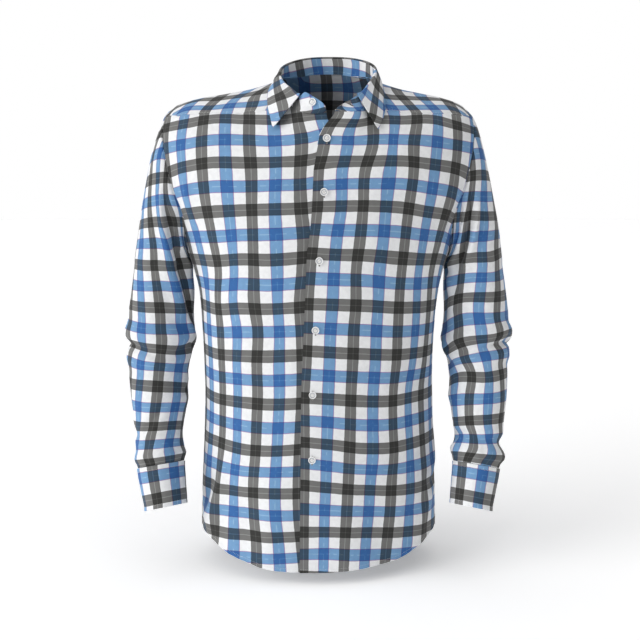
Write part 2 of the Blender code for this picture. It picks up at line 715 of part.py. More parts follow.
def make_cuffs():
    """A band once round the wrist and on over its own end."""
    radius = float(cuff["half_width"](CUFF_MIDDLE_Z) + cuff["half_depth"](CUFF_MIDDLE_Z)) / 2
    lap = math.degrees(CUFF_LAP / radius)
    turns = CUFF_OPENING - lap + np.linspace(0, 360 + lap, CUFF_STEPS + 1)
    lift = np.clip((turns - turns[0] - CUFF_LIFT_FROM) / CUFF_LIFT_OVER, 0, 1)
    lift = CUFF_LAP_LIFT * lift * lift * (3 - 2 * lift)
    rows = [ring_point(cuff, np.full(len(turns), z), turns, lift)
            for z in np.linspace(CUFF[0][0], CUFF[-1][0], CUFF_ROWS)]
    grid = np.array(rows)
    for side, sign in (("left", 1), ("right", -1)):
        add_sheet(f"cuff_{side}", grid * (sign, 1, 1), GREY, outward=(0.26 * sign, -0.045, -0.67))
    return grid


def make_plackets():
    """The strip over the sleeve's slit, on the outside of the sleeve above the cuff."""
    half_turn = math.degrees(PLACKET_WIDTH / 2 / PLACKET_ARM_RADIUS)
    rows = []
    for z, share in PLACKET:
        turns = CUFF_OPENING + np.linspace(-half_turn, half_turn, 4) * share
        rows.append(ring_point(sleeve, np.full(len(turns), z), turns, PLACKET_LIFT))
    for side, sign in (("left", 1), ("right", -1)):
        add_sheet(f"placket_{side}", np.array(rows) * (sign, 1, 1), WHITE,
                  outward=(0.26 * sign, -0.02, -0.57), inward=False)


# ---------------------------------------------------------------- collar
def neck_seam(angle):
    """The seam between shirt and stand at a signed angle."""
    across, way, back = neck_place(abs(angle))
    point = over(across, way, back)
    side = 1 if angle > 0 else -1
    point[0] *= side
    return settle(point, side)


def stand_top(angle):
    return np.array([float(stand[name](angle)) for name in STAND_COLUMNS[1:]])


def make_collar_stand():
    yoke = np.linspace(CORNER_ANGLE, 0, YOKE_NECK_STEPS + 1)
    half = [EDGE_ANGLE, (EDGE_ANGLE + 180) / 2] + list(NECK_ANGLES) + list(yoke[1:])
    angles = [-a for a in half] + half[-2::-1]
    grid = np.array([
        [neck_seam(a) + (stand_top(a) - neck_seam(a)) * part for a in angles]
        for part in np.linspace(0, 1, STAND_ROWS)
    ])
    grid = pull_in(grid, top=STAND_PULL)
    make_collar_button(grid)
    add_sheet("collar_stand", grid[::-1], BLUE, wall=STAND_WALL, outward=(0.014, -0.03, -0.02))


def fall_edge(angle):
    """A point of the fall's free edge, resting on the shirt."""
    x, z, lift = (float(fall[name](angle)) for name in FALL_COLUMNS[1:])
    side = 1 if angle > 0 else -1
    flat = abs(x - float(lean(z)))
    across = flat / armhole_x(ARM_Z + ARM_HALF_HEIGHT)
    if abs(angle) <= 90:
        way = float(fall_back(abs(angle)))
        point = over(across, abs(way), way > 0)
    else:
        way = way_of_z(across, z, False)
        across = across * flat / over(across, way, False)[0]
        point = over(across, way, False)
    point[0] *= side
    turn = math.radians(angle)
    out = np.array((math.sin(turn), math.cos(turn), 0.0))
    sloping = lift * FALL_LIFT_PART
    return settle(point, side) + out * sloping + np.array((0, 0, sloping))


def make_collar_fall():
    columns = []
    for angle in np.linspace(-FALL_END, FALL_END, FALL_STEPS + 1):
        top = stand_top(angle)
        turn = math.radians(angle)
        out = np.array((math.sin(turn), math.cos(turn), 0.0))
        up = np.array((0, 0, 1.0))
        edge = fall_edge(angle)
        outer = top + out * FOLD_OUT + up * FALL_CREST
        strip = [top + up * FALL_OVER, top + up * FOLD_UP + out * FOLD_OUT * 0.45, outer]
        for part in (0.25, 0.5, 0.75, 1.0):
            bow = out * FALL_BOW * math.sin(math.pi * part)
            strip.append(outer + (edge - outer) * part + bow)
        columns.append(strip)
    grid = np.array(columns).transpose(1, 0, 2)
    add_sheet("collar_fall", grid, WHITE, outward=(0.014, -0.03, -0.08), inward=False)


# ---------------------------------------------------------------- buttons
def button_mesh():
    """Half outline of a button with a raised rim, to be turned round Z."""
    mesh = bpy.data.meshes.new("button")
    mesh.from_pydata([(out * BUTTON_RADIUS, 0, up * BUTTON_HEIGHT) for out, up in BUTTON_OUTLINE],
                     [(i, i + 1) for i in range(len(BUTTON_OUTLINE) - 1)], [])
    return mesh


def add_button(name, place, normal):
    button = bpy.data.objects.new(name, button_mesh())
    button.data.materials.append(material(name, PEARL, 0.3))
    shirt.objects.link(button)
    turn = button.modifiers.new("turned", "SCREW")
    turn.steps = BUTTON_TURNS
    turn.render_steps = BUTTON_TURNS
    turn.use_merge_vertices = True
    turn.merge_threshold = 0.00005
    turn.use_normal_calculate = True
    button.matrix_world = (
        Matrix.Translation(Vector(place) + Vector(normal) * SEAM_GAP)
        @ Vector(normal).to_track_quat("Z", "Y").to_matrix().to_4x4()
    )


def seat(grid, place, direction, radius):
    """Where a flat disc comes to rest on a faceted grid, moved along `direction` from outside."""
    rows, columns = grid.shape[:2]
    corners = [Vector(p) for p in grid.reshape(-1, 3)]
    faces = []
    for i in range(rows - 1):
        for j in range(columns - 1):
            a = i * columns + j
            faces += [(a, a + 1, a + columns + 1), (a, a + columns + 1, a + columns)]
            faces += [(a, a + 1, a + columns), (a + 1, a + columns + 1, a + columns)]
    tree = BVHTree.FromPolygons(corners, faces)
    direction = Vector(direction).normalized()
    side = direction.orthogonal().normalized()
    other = direction.cross(side)
    hits = []
    for k in range(13):
        turn = math.tau * k / 12
        reach = 0.0 if k == 12 else radius
        start = Vector(place) - direction * 0.05
        start += side * (reach * math.cos(turn)) + other * (reach * math.sin(turn))
        hit = tree.ray_cast(start, direction)[0]
        if hit is not None:
            hits.append(np.array(hit))
    hits = np.array(hits)
    middle = hits.mean(0)
    normal = np.linalg.svd(hits - middle)[2][-1]
    if normal.dot(np.array(direction)) > 0:
        normal = -normal
    height = max((hits - middle) @ normal)
    return middle + normal * height, normal


def make_buttons(left):
    for number, z in enumerate(BUTTON_HEIGHTS, 1):
        place, normal = seat(left, (float(lean(z)), -0.12, z), (0, 1, 0), BUTTON_RADIUS)
        add_button(f"button_front_{number}", place, normal)


def make_collar_button(stand_grid):
    place, normal = seat(stand_grid, COLLAR_BUTTON, (0, 1, 0), BUTTON_RADIUS)
    add_button("button_collar", place, normal)


def make_cuff_buttons(grid):
    turn = math.radians(CUFF_OPENING - CUFF_BUTTON_BACK)
    z = CUFF[1][0]
    middle = np.array([float(cuff["x"](z)), float(cuff["y"](z)), z])
    inwards = np.array((-math.cos(turn), math.sin(turn), 0.0))
    for side, sign in (("left", 1), ("right", -1)):
        flip = np.array((sign, 1, 1))
        place, normal = seat(grid * flip, (middle - inwards * BUTTON_START) * flip,
                             inwards * flip, BUTTON_RADIUS)
        add_button(f"button_cuff_{side}", place, normal)


shirt = bpy.data.collections.new("shirt")


def main():
    for old in list(bpy.data.objects):
        bpy.data.objects.remove(old, do_unlink=True)
    bpy.context.scene.collection.children.link(shirt)
    left = make_fronts()
    make_back()
    make_yoke()
    make_sleeves()
    cuffs = make_cuffs()
    make_plackets()
    make_collar_stand()
    make_collar_fall()
    make_buttons(left)
    make_cuff_buttons(cuffs)


main()
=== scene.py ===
# Long-sleeved check shirt, standing open as if worn. Metres, +Z up, front towards -Y.
import math

import bmesh
import bpy
import numpy as np
from mathutils import Matrix, Vector
from mathutils.bvhtree import BVHTree


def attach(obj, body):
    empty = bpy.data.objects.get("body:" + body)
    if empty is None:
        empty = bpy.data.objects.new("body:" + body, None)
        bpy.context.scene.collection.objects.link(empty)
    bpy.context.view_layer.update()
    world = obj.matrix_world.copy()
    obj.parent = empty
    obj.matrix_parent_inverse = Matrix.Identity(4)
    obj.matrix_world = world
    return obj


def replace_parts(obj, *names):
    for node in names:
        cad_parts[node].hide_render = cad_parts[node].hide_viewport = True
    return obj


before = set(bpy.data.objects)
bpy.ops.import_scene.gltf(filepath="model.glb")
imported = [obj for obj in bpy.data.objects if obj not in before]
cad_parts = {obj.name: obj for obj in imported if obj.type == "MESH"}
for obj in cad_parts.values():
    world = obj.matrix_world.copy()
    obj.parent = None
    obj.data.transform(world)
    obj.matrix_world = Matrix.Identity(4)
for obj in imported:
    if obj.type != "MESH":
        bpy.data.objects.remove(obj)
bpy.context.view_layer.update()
scene = bpy.context.scene

camera = {"at": (0.0024, -1.433, -0.21), "turn": 83.0, "lens": 49.5, "sensor": 36.0}
eye = bpy.data.cameras.new("camera")
eye.lens = camera["lens"]
eye.sensor_width = camera["sensor"]
eyeObject = bpy.data.objects.new("camera", eye)
eyeObject.location = camera["at"]
eyeObject.rotation_euler = (math.radians(camera["turn"]), 0, 0)
scene.collection.objects.link(eyeObject)
scene.camera = eyeObject


# Tables have their columns named in the first row. A column reads as a smooth curve.
def smoothColumn(table, name):
    rows = sorted(table[1:])
    at = np.array([row[0] for row in rows])
    value = np.array([row[table[0].index(name)] for row in rows], float)
    slope = np.diff(value) / np.diff(at)
    bend = np.concatenate(([0.0], (slope[:-1] + slope[1:]) / 2, [0.0]))
    bend[1:-1][slope[:-1] * slope[1:] < 0] *= 0.3

    def read(place):
        place = np.clip(np.asarray(place, float), at[0], at[-1])
        i = np.clip(np.searchsorted(at, place) - 1, 0, len(at) - 2)
        width = at[i + 1] - at[i]
        t = (place - at[i]) / width
        return (
            value[i] * (2 * t**3 - 3 * t**2 + 1)
            + value[i + 1] * (3 * t**2 - 2 * t**3)
            + bend[i] * width * (t**3 - 2 * t**2 + t)
            + bend[i + 1] * width * (t**3 - t**2)
        )

    return read


def readTable(table):
    return {name: smoothColumn(table, name) for name in table[0][1:]}


def smoothStep(value):
    value = np.clip(value, 0, 1)
    return value * value * (3 - 2 * value)


def cubic(t, p0, p1, p2, p3):
    s = 1 - t
    return s**3 * p0 + 3 * s * s * t * p1 + 3 * s * t * t * p2 + t**3 * p3


# The torso: level rows from the centre round to the side seam. Above the armpit a row ends
# at the armhole, and above the chest the form goes over the shoulder ridge.
body = readTable((
    ("z", "halfWidth", "sideY", "frontY", "backY"),
    (-0.795, 0.1990, 0.016, -0.1120, 0.1290),
    (-0.720, 0.1975, 0.016, -0.1105, 0.1290),
    (-0.640, 0.1945, 0.016, -0.1095, 0.1225),
    (-0.560, 0.1905, 0.015, -0.1090, 0.1090),
    (-0.480, 0.1885, 0.014, -0.1105, 0.0990),
    (-0.400, 0.1905, 0.012, -0.1145, 0.0980),
    (-0.330, 0.1962, 0.008, -0.1205, 0.1050),
    (-0.300, 0.2030, 0.005, -0.1236, 0.1085),
    (-0.265, 0.2125, 0.003, -0.1264, 0.1120),
    (-0.210, 0.2125, 0.003, -0.1288, 0.1150),
    (-0.158, 0.2125, 0.003, -0.1295, 0.1160),
))
armholeX = smoothColumn((
    ("z", "x"),
    (-0.265, 0.2125),
    (-0.250, 0.2108),
    (-0.228, 0.2110),
    (-0.207, 0.2145),
    (-0.184, 0.2225),
    (-0.158, 0.2300),
    (-0.130, 0.2358),
    (-0.105, 0.2400),
    (-0.082, 0.2420),
    (-0.065, 0.2412),
    (-0.051, 0.2385),
), "x")
ridgeZ = smoothColumn((
    ("x", "z"),
    (0.000, 0.0275),
    (0.020, 0.0245),
    (0.040, 0.0155),
    (0.058, 0.0055),
    (0.075, -0.0025),
    (0.118, -0.0165),
    (0.156, -0.0238),
    (0.191, -0.0300),
    (0.226, -0.0415),
    (0.2385, -0.0510),
), "z")
leanAside = smoothColumn((
    ("z", "aside"),
    (-0.795, -0.0115),
    (-0.600, -0.0100),
    (-0.490, -0.0090),
    (-0.390, -0.0045),
    (-0.280, 0.0015),
    (-0.180, 0.0085),
    (-0.100, 0.0125),
    (0.000, 0.0140),
    (0.060, 0.0145),
), "aside")
opened = readTable((
    ("z", "left", "right"),
    (-0.150, 0.0000, 0.0000),
    (-0.134, 0.0020, 0.0005),
    (-0.115, 0.0040, 0.0020),
    (-0.100, 0.0060, 0.0050),
    (-0.086, 0.0145, 0.0125),
    (-0.074, 0.0265, 0.0175),
    (-0.062, 0.0300, 0.0190),
    (-0.040, 0.0300, 0.0190),
))
hem = readTable((
    ("around", "left", "right", "back"),
    (0.00, -0.7722, -0.7722, -0.7880),
    (0.20, -0.7707, -0.7710, -0.7865),
    (0.33, -0.7678, -0.7670, -0.7825),
    (0.45, -0.7643, -0.7600, -0.7770),
    (0.56, -0.7580, -0.7515, -0.7695),
    (0.65, -0.7480, -0.7440, -0.7615),
    (0.74, -0.7400, -0.7385, -0.7530),
    (0.83, -0.7345, -0.7345, -0.7450),
    (0.92, -0.7290, -0.7290, -0.7340),
    (1.00, -0.7235, -0.7235, -0.7235),
))
torso = {
    "chestZ": -0.158, "armHalfHeight": 0.107, "armHalfDepth": 0.064, "middleY": 0.003,
    "overHeight": 0.17, "corner": 0.60, "round": 0.5523, "backUp": 0.60, "backFlat": 0.50,
    "frontUp": 0.30, "frontFlat": 0.45, "edgeFromCentre": 0.0175, "lapSink": 0.0016,
    "lapFrom": -0.034, "lapBlend": 0.016, "openFrom": 0.004, "openReach": 0.072,
    "openForward": 0.34, "openUp": 0.22, "wall": 0.0010,
}
chestZ = torso["chestZ"]
armpitZ = chestZ - torso["armHalfHeight"]
ridgeAcross = float(armholeX(chestZ + torso["armHalfHeight"]))


def halfRing(t):
    return cubic(t, 0, torso["corner"], 1, 1), cubic(t, 0, 0, 1 - torso["corner"], 1)


def rowPoints(z, t, back):
    middle = body["backY"](z) if back else body["frontY"](z)
    rise = np.clip((z - chestZ) / torso["armHalfHeight"], -1, 0)
    armY = torso["middleY"] + (1 if back else -1) * torso["armHalfDepth"] * np.sqrt(1 - rise**2)
    above = z > armpitZ
    cut = np.where(above, (armY - middle) / (body["sideY"](z) - middle), 1.0)
    sample = np.linspace(0, 1, 121)
    end = np.interp(cut, halfRing(sample)[1], sample)
    width = np.where(above, armholeX(z) / halfRing(end)[0], body["halfWidth"](z))
    across, forward = halfRing(t * end)
    return across * width, middle + (body["sideY"](z) - middle) * forward


def rowAt(z, around, back):
    z, around = np.broadcast_arrays(np.asarray(z, float), np.asarray(around, float))
    t = np.linspace(0, 1, 41)
    x, y = rowPoints(z[..., None], np.broadcast_to(t, z.shape + t.shape), back)
    step = np.hypot(np.diff(x), np.diff(y))
    run = np.concatenate((np.zeros(z.shape + (1,)), np.cumsum(step, -1)), -1)
    wanted = np.abs(around) * run[..., -1]
    pairs = zip(wanted.ravel(), run.reshape(-1, len(t)))
    tAt = np.array([np.interp(w, r, t) for w, r in pairs]).reshape(z.shape)
    x, y = rowPoints(z, tAt, back)
    return np.stack((x * np.where(around < 0, -1, 1), y, z), -1)


def chestRow(back):
    t = np.linspace(0, 1, 201)
    x, y = rowPoints(np.full_like(t, chestZ), t, back)
    return x / x[-1], y


chestRows = {back: chestRow(back) for back in (False, True)}


def over(across, way, back):
    # way is 0 on the shoulder ridge and 1 at the chest row, down its own side
    across, way = np.broadcast_arrays(np.asarray(across, float), np.asarray(way, float))
    t = 1 - way
    part = np.clip(np.abs(across), 0, 1) ** 2
    lowY = np.interp(np.abs(across), *chestRows[back])
    side = "back" if back else "front"
    up = torso[side + "Up"] + (torso["round"] - torso[side + "Up"]) * part
    level = torso[side + "Flat"] + (torso["round"] - torso[side + "Flat"]) * part
    top = chestZ + torso["armHalfHeight"]
    armZ = cubic(t, chestZ, chestZ + torso["round"] * torso["armHalfHeight"], top, top)
    high = ridgeZ(np.abs(across) * ridgeAcross)
    middle = torso["middleY"]
    y = cubic(t, lowY, lowY, middle + level * (lowY - middle), middle)
    z = cubic(t, chestZ, chestZ + up * (high - chestZ), high, high)
    return np.stack((across * armholeX(armZ), y, z), -1)


def levelAt(level, around, back):
    level, around = np.broadcast_arrays(np.asarray(level, float), np.asarray(around, float))
    low = rowAt(np.minimum(level, chestZ), around, back)
    across = rowAt(np.full(level.shape, chestZ), around, back)[..., 0] / armholeX(chestZ)
    high = over(across, 1 - np.clip((level - chestZ) / torso["overHeight"], 0, 1), back)
    return np.where((level <= chestZ)[..., None], low, high)


def findWay(across, wanted, back, depth):
    # how far down its side the form over `across` reaches a depth, or a height
    across, wanted = np.broadcast_arrays(np.asarray(across, float), np.asarray(wanted, float))
    low, high = np.zeros(across.shape), np.ones(across.shape)
    for _ in range(40):
        middle = (low + high) / 2
        here = over(across, middle, back)
        far = (here[..., 1] < wanted) == back if depth else here[..., 2] > wanted
        low, high = np.where(far, middle, low), np.where(far, high, middle)
    return (low + high) / 2


def levelOf(way):
    return chestZ + torso["overHeight"] * (1 - way)


neck = {"halfWidth": 0.0740, "halfLength": 0.0720, "y": -0.0280, "yokeFrontY": -0.080,
        "yokeFrontArm": 26.0, "yokeBackZ": -0.0960, "yokeFlare": 0.6, "cornerAround": 0.28}


def neckPlace(angle):
    # angle 0 is the centre back, 180 the centre front
    turn = math.radians(angle)
    x = neck["halfWidth"] * math.sin(turn)
    y = neck["y"] + neck["halfLength"] * math.cos(turn)
    back = y > torso["middleY"]
    across, way = x / ridgeAcross, 0.3
    for _ in range(6):
        way = float(findWay(across, y, back, True))
        across = across * x / over(across, way, back)[0] if abs(x) > 1e-6 else 0.0
    return float(across), way, back


def settle(points, side=0):
    # leans the form aside; side 1 or -1 also lets the left or right front fall open
    points = np.array(points, float)
    x, z = points[..., 0].copy(), points[..., 2].copy()
    outer = np.where(z > armpitZ, armholeX(z), body["halfWidth"](z))
    points[..., 0] += leanAside(z) * np.clip(1 - (np.abs(x) / outer) ** 2, 0, 1)
    if side:
        shift = opened["left" if side > 0 else "right"](z)
        near = smoothStep(1 - (x * side - torso["openFrom"]) / torso["openReach"])
        near = near * (points[..., 1] < 0)
        points[..., 0] += side * shift * near
        points[..., 1] -= torso["openForward"] * shift * near
        points[..., 2] += torso["openUp"] * shift * near
    return points


def armLevel(angle):
    angle = np.asarray(angle, float)
    low = chestZ + torso["armHalfHeight"] * np.cos(np.radians(angle))
    return np.where(angle >= 90, low, levelOf(angle / 90))


yokeBackArm = 90 * float(findWay(1.0, neck["yokeBackZ"], True, False))
cornerAngle = math.degrees(math.acos((neck["yokeFrontY"] - neck["y"]) / neck["halfLength"]))
cornerAcross = neckPlace(cornerAngle)[0]
edgeAngle = 180 + math.degrees(torso["edgeFromCentre"] / neck["halfWidth"])


def seamWay(across):
    # front yoke seam: level beside the neck and lower at the armhole
    part = np.clip((across - cornerAcross) / (1 - cornerAcross), 0, 1)
    near = findWay(across, neck["yokeFrontY"], False, True)
    return near + (neck["yokeFrontArm"] / 90 - near) * part**1.5


# Flat lengths over the form: how much cloth lies between the centre line, or the chest row,
# and each place.
def rowLength(z, back):
    t = np.linspace(0, 1, 61)
    x, y = rowPoints(np.asarray(z, float)[..., None], t, back)
    return np.hypot(np.diff(x), np.diff(y)).sum(-1)


def runLengths(points, axis):
    steps = np.linalg.norm(np.diff(points, axis=axis), axis=-1)
    shape = list(points.shape[:2])
    shape[axis] = 1
    return np.concatenate((np.zeros(shape), np.cumsum(steps, axis)), axis)


def flatForm(back):
    arounds = np.linspace(0, 1, 61)
    levels = np.linspace(chestZ, levelOf(0), 50)
    points = levelAt(levels[:, None], arounds[None, :], back)
    z = np.linspace(-0.80, chestZ, 90)
    y = body["backY" if back else "frontY"](z)
    fall = np.concatenate(([0], np.cumsum(np.hypot(np.diff(z), np.diff(y)))))
    return {"arounds": arounds, "levels": levels, "across": runLengths(points, 1),
            "height": runLengths(points, 0), "z": z, "fall": fall - fall[-1]}


flatForms = {back: flatForm(back) for back in (False, True)}


def readGrid(table, rows, columns, row, column):
    i = np.clip(np.searchsorted(rows, row) - 1, 0, len(rows) - 2)
    j = np.clip(np.searchsorted(columns, column) - 1, 0, len(columns) - 2)
    s = np.clip((row - rows[i]) / (rows[i + 1] - rows[i]), 0, 1)
    t = np.clip((column - columns[j]) / (columns[j + 1] - columns[j]), 0, 1)
    low = table[i, j] * (1 - t) + table[i, j + 1] * t
    high = table[i + 1, j] * (1 - t) + table[i + 1, j + 1] * t
    return low * (1 - s) + high * s


def flatAt(level, around, back):
    level, around = np.broadcast_arrays(np.asarray(level, float), np.asarray(around, float))
    form = flatForms[back]
    side = np.where(around < 0, -1, 1)
    low = rowLength(np.minimum(level, chestZ), back) * around
    places = (form["levels"], form["arounds"], level, np.abs(around))
    high = readGrid(form["across"], *places) * side
    raised = readGrid(form["height"], *places)
    fallen = np.interp(level, form["z"], form["fall"])
    return np.where(level <= chestZ, low, high), np.where(level <= chestZ, fallen, raised)


# A chart shifts the flat cloth under the form, as cutting, sewing and wear have drawn it. Its
# rows are heights on the form, its columns places across it, all evenly spaced.
def cubicTaps(place, first, step, count):
    at = np.clip((place - first) / step, 0, count - 1 - 1e-9)
    i = np.floor(at).astype(int)
    t = at - i
    weights = ((-t**3 + 2 * t**2 - t) / 2, (3 * t**3 - 5 * t**2 + 2) / 2,
               (-3 * t**3 + 4 * t**2 + t) / 2, (t**3 - t**2) / 2)
    return [(np.clip(i + k - 1, 0, count - 1), weight) for k, weight in enumerate(weights)]


def chartShift(chart, u, v):
    rows = cubicTaps(v, chart["top"], chart["rise"], len(chart["aside"]))
    columns = cubicTaps(u, chart["first"], chart["step"], len(chart["aside"][0]))
    shift = []
    for name in ("aside", "along"):
        table = np.array(chart[name], float) / 1000
        shift.append(sum(table[i, j] * a * b for i, a in rows for j, b in columns))
    return shift


def charted(flat, chart):
    return flat + np.stack(chartShift(chart, flat[..., 0], flat[..., 1]), -1)


def aroundOf(across, back):
    arounds = np.linspace(0, 1, 101)
    x = rowAt(np.full(101, chestZ), arounds, back)[:, 0] / armholeX(chestZ)
    return np.interp(np.abs(across), x, arounds) * np.where(across < 0, -1, 1)


def spread(length, spacing, start=(), end=()):
    # places along a length, closer together at the ends where the sewn edges are
    inner = np.linspace(start[-1] if start else 0, length - (end[-1] if end else 0),
                        max(2, round((length - sum(start[-1:]) - sum(end[-1:])) / spacing) + 1))
    first = list(start[:-1])
    last = [length - e for e in end[:-1]][::-1]
    return np.array(first + list(inner) + last)


seamRows = (0.0, 0.0012, 0.0026, 0.0044, 0.0066, 0.0095)   # metres from a sewn edge
hemRows = (0.0, 0.0008, 0.0022, 0.0040, 0.0054, 0.0064, 0.0080, 0.0110)


def panel(tops, arounds, armAngles, hemZ, back, spacing=0.0042):
    # each column falls from its own top to the hem; returns points, arounds and levels
    side = armLevel(armAngles)
    shares = (side[0] - side) / (side[0] - armpitZ)
    even = np.linspace(0, 1, len(side))
    lowParts = spread(0.50, spacing, (), hemRows) / 0.50
    lowParts = lowParts[lowParts > 0]
    grid, levels, places = [], [], []
    for (topAcross, topLevel), around, hemHere in zip(tops, arounds, hemZ):
        flat = 1 - abs(around) ** 3
        high = topLevel + (armpitZ - topLevel) * (shares + (even - shares) * flat)
        low = armpitZ + (hemHere - armpitZ) * lowParts
        level = np.concatenate((high, low))
        here = levelAt(level, around, back)
        lowAcross = rowAt(chestZ, around, back)[0] / armholeX(chestZ)
        raised = level > chestZ
        part = np.clip((level - chestZ) / max(topLevel - chestZ, 1e-6), 0, 1)
        across = lowAcross + (topAcross - lowAcross) * part
        here[raised] = over(across[raised], 1 - (level[raised] - chestZ) / torso["overHeight"],
                            back)
        grid.append(here)
        levels.append(level)
        places.append(np.where(raised, aroundOf(across, back), around))
    return np.stack(grid, 1), np.stack(places, 1), np.stack(levels, 1)


def gridNormals(grid, closed=False):
    if closed:
        ring = grid[:, :-1]
        along = np.roll(ring, -1, 1) - np.roll(ring, 1, 1)
        along = np.concatenate((along, along[:, :1]), 1)
    else:
        along = np.gradient(grid, axis=1)
    normal = np.cross(along, np.gradient(grid, axis=0))
    return normal / np.maximum(np.linalg.norm(normal, axis=-1, keepdims=True), 1e-12)


def outward(grid, inside, closed=False):
    # normals of a grid, all turned away from a point inside the shirt
    normal = gridNormals(grid, closed)
    facing = (normal * (grid - np.array(inside))).sum(-1)
    return normal * (1 if facing.sum() > 0 else -1)


def pullIn(grid, top=0.0, bottom=0.0, first=0.0, last=0.0):
    # draws the edges back from their seams, which leaves the gap between two pieces
    def towards(edge, inner, distance):
        way = inner - edge
        return edge + way / np.linalg.norm(way, axis=-1, keepdims=True) * distance

    grid = np.array(grid, float)
    if top:
        grid[0] = towards(grid[0], grid[1], top)
    if bottom:
        grid[-1] = towards(grid[-1], grid[-2], bottom)
    if first:
        grid[:, 0] = towards(grid[:, 0], grid[:, 1], first)
    if last:
        grid[:, -1] = towards(grid[:, -1], grid[:, -2], last)
    return grid


def edgeRuns(grid):
    # lengths along the cloth from its top, bottom, first and last edge
    down = np.linalg.norm(np.diff(grid, axis=0), axis=-1)
    along = np.linalg.norm(np.diff(grid, axis=1), axis=-1)
    top = np.concatenate((np.zeros((1, grid.shape[1])), np.cumsum(down, 0)), 0)
    first = np.concatenate((np.zeros((grid.shape[0], 1)), np.cumsum(along, 1)), 1)
    return top, top[-1:] - top, first, first[:, -1:] - first


def creaseHeight(a, b, creases):
    # soft ridges and troughs: each is a line of points with a height and a half width
    total = np.zeros(a.shape)
    for crease in creases:
        nearest = np.full(a.shape, 1e9)
        height, width = np.zeros(a.shape), np.ones(a.shape)
        for start, end in zip(crease[:-1], crease[1:]):
            runA, runB = end[0] - start[0], end[1] - start[1]
            t = ((a - start[0]) * runA + (b - start[1]) * runB) / (runA**2 + runB**2)
            t = np.clip(t, 0, 1)
            distance = np.hypot(a - start[0] - runA * t, b - start[1] - runB * t)
            closer = distance < nearest
            nearest = np.where(closer, distance, nearest)
            height = np.where(closer, start[2] + (end[2] - start[2]) * t, height)
            width = np.where(closer, start[3] + (end[3] - start[3]) * t, width)
        q = nearest / width
        total += height * (np.exp(-q * q) - 0.30 * np.exp(-((q - 1.9) ** 2)))
    return total


def sewnRelief(run, along, depth=0.0005):
    # a groove at a seam, the bulk of its turned cloth beside it, and slight puckers
    pucker = np.sin(along / 0.0031 + 2.2 * np.sin(along / 0.017)) * np.exp(-run / 0.009)
    return (0.0003 * np.exp(-(((run - 0.0052) / 0.0030) ** 2))
            - depth * np.exp(-((run / 0.0015) ** 2)) + 0.00022 * pucker)


def fineRelief(run, along):
    # a pressed seam that lies almost flat
    return sewnRelief(run, along, 0.00015)


def armRelief(run, along):
    # the deep seam where a sleeve is set into its armhole
    return sewnRelief(run, along, 0.0012)


def hemRelief(run, along):
    # a narrow hem turned twice, held by one row of stitches
    pucker = np.sin(along / 0.0036 + 1.9 * np.sin(along / 0.021)) * np.exp(-run / 0.010)
    band = 0.00040 * smoothStep((0.0060 - run) / 0.0012)
    return band - 0.00035 * np.exp(-(((run - 0.0054) / 0.0006) ** 2)) + 0.00035 * pucker


def edgeRelief(run, along):
    # a turned edge, stitched down a little way in
    pucker = np.sin(along / 0.0034 + 1.7 * np.sin(along / 0.019)) * np.exp(-run / 0.010)
    band = 0.00028 * smoothStep((0.0072 - run) / 0.0015)
    return band - 0.00022 * np.exp(-(((run - 0.0068) / 0.0011) ** 2)) + 0.00008 * pucker


def softWaves(a, b, size, seed):
    # slow swells of loose cloth
    waves = ((1.0, 0.9, 11.0, 0.3), (0.7, -6.5, 17.0, 1.7), (0.5, 21.0, 6.0, 4.1),
             (0.4, 15.0, -31.0, 2.6))
    total = 0
    for share, alongA, alongB, start in waves:
        total = total + share * np.sin(a * alongA * 2.2 + b * alongB * 2.2 + start + seed)
    return total * size


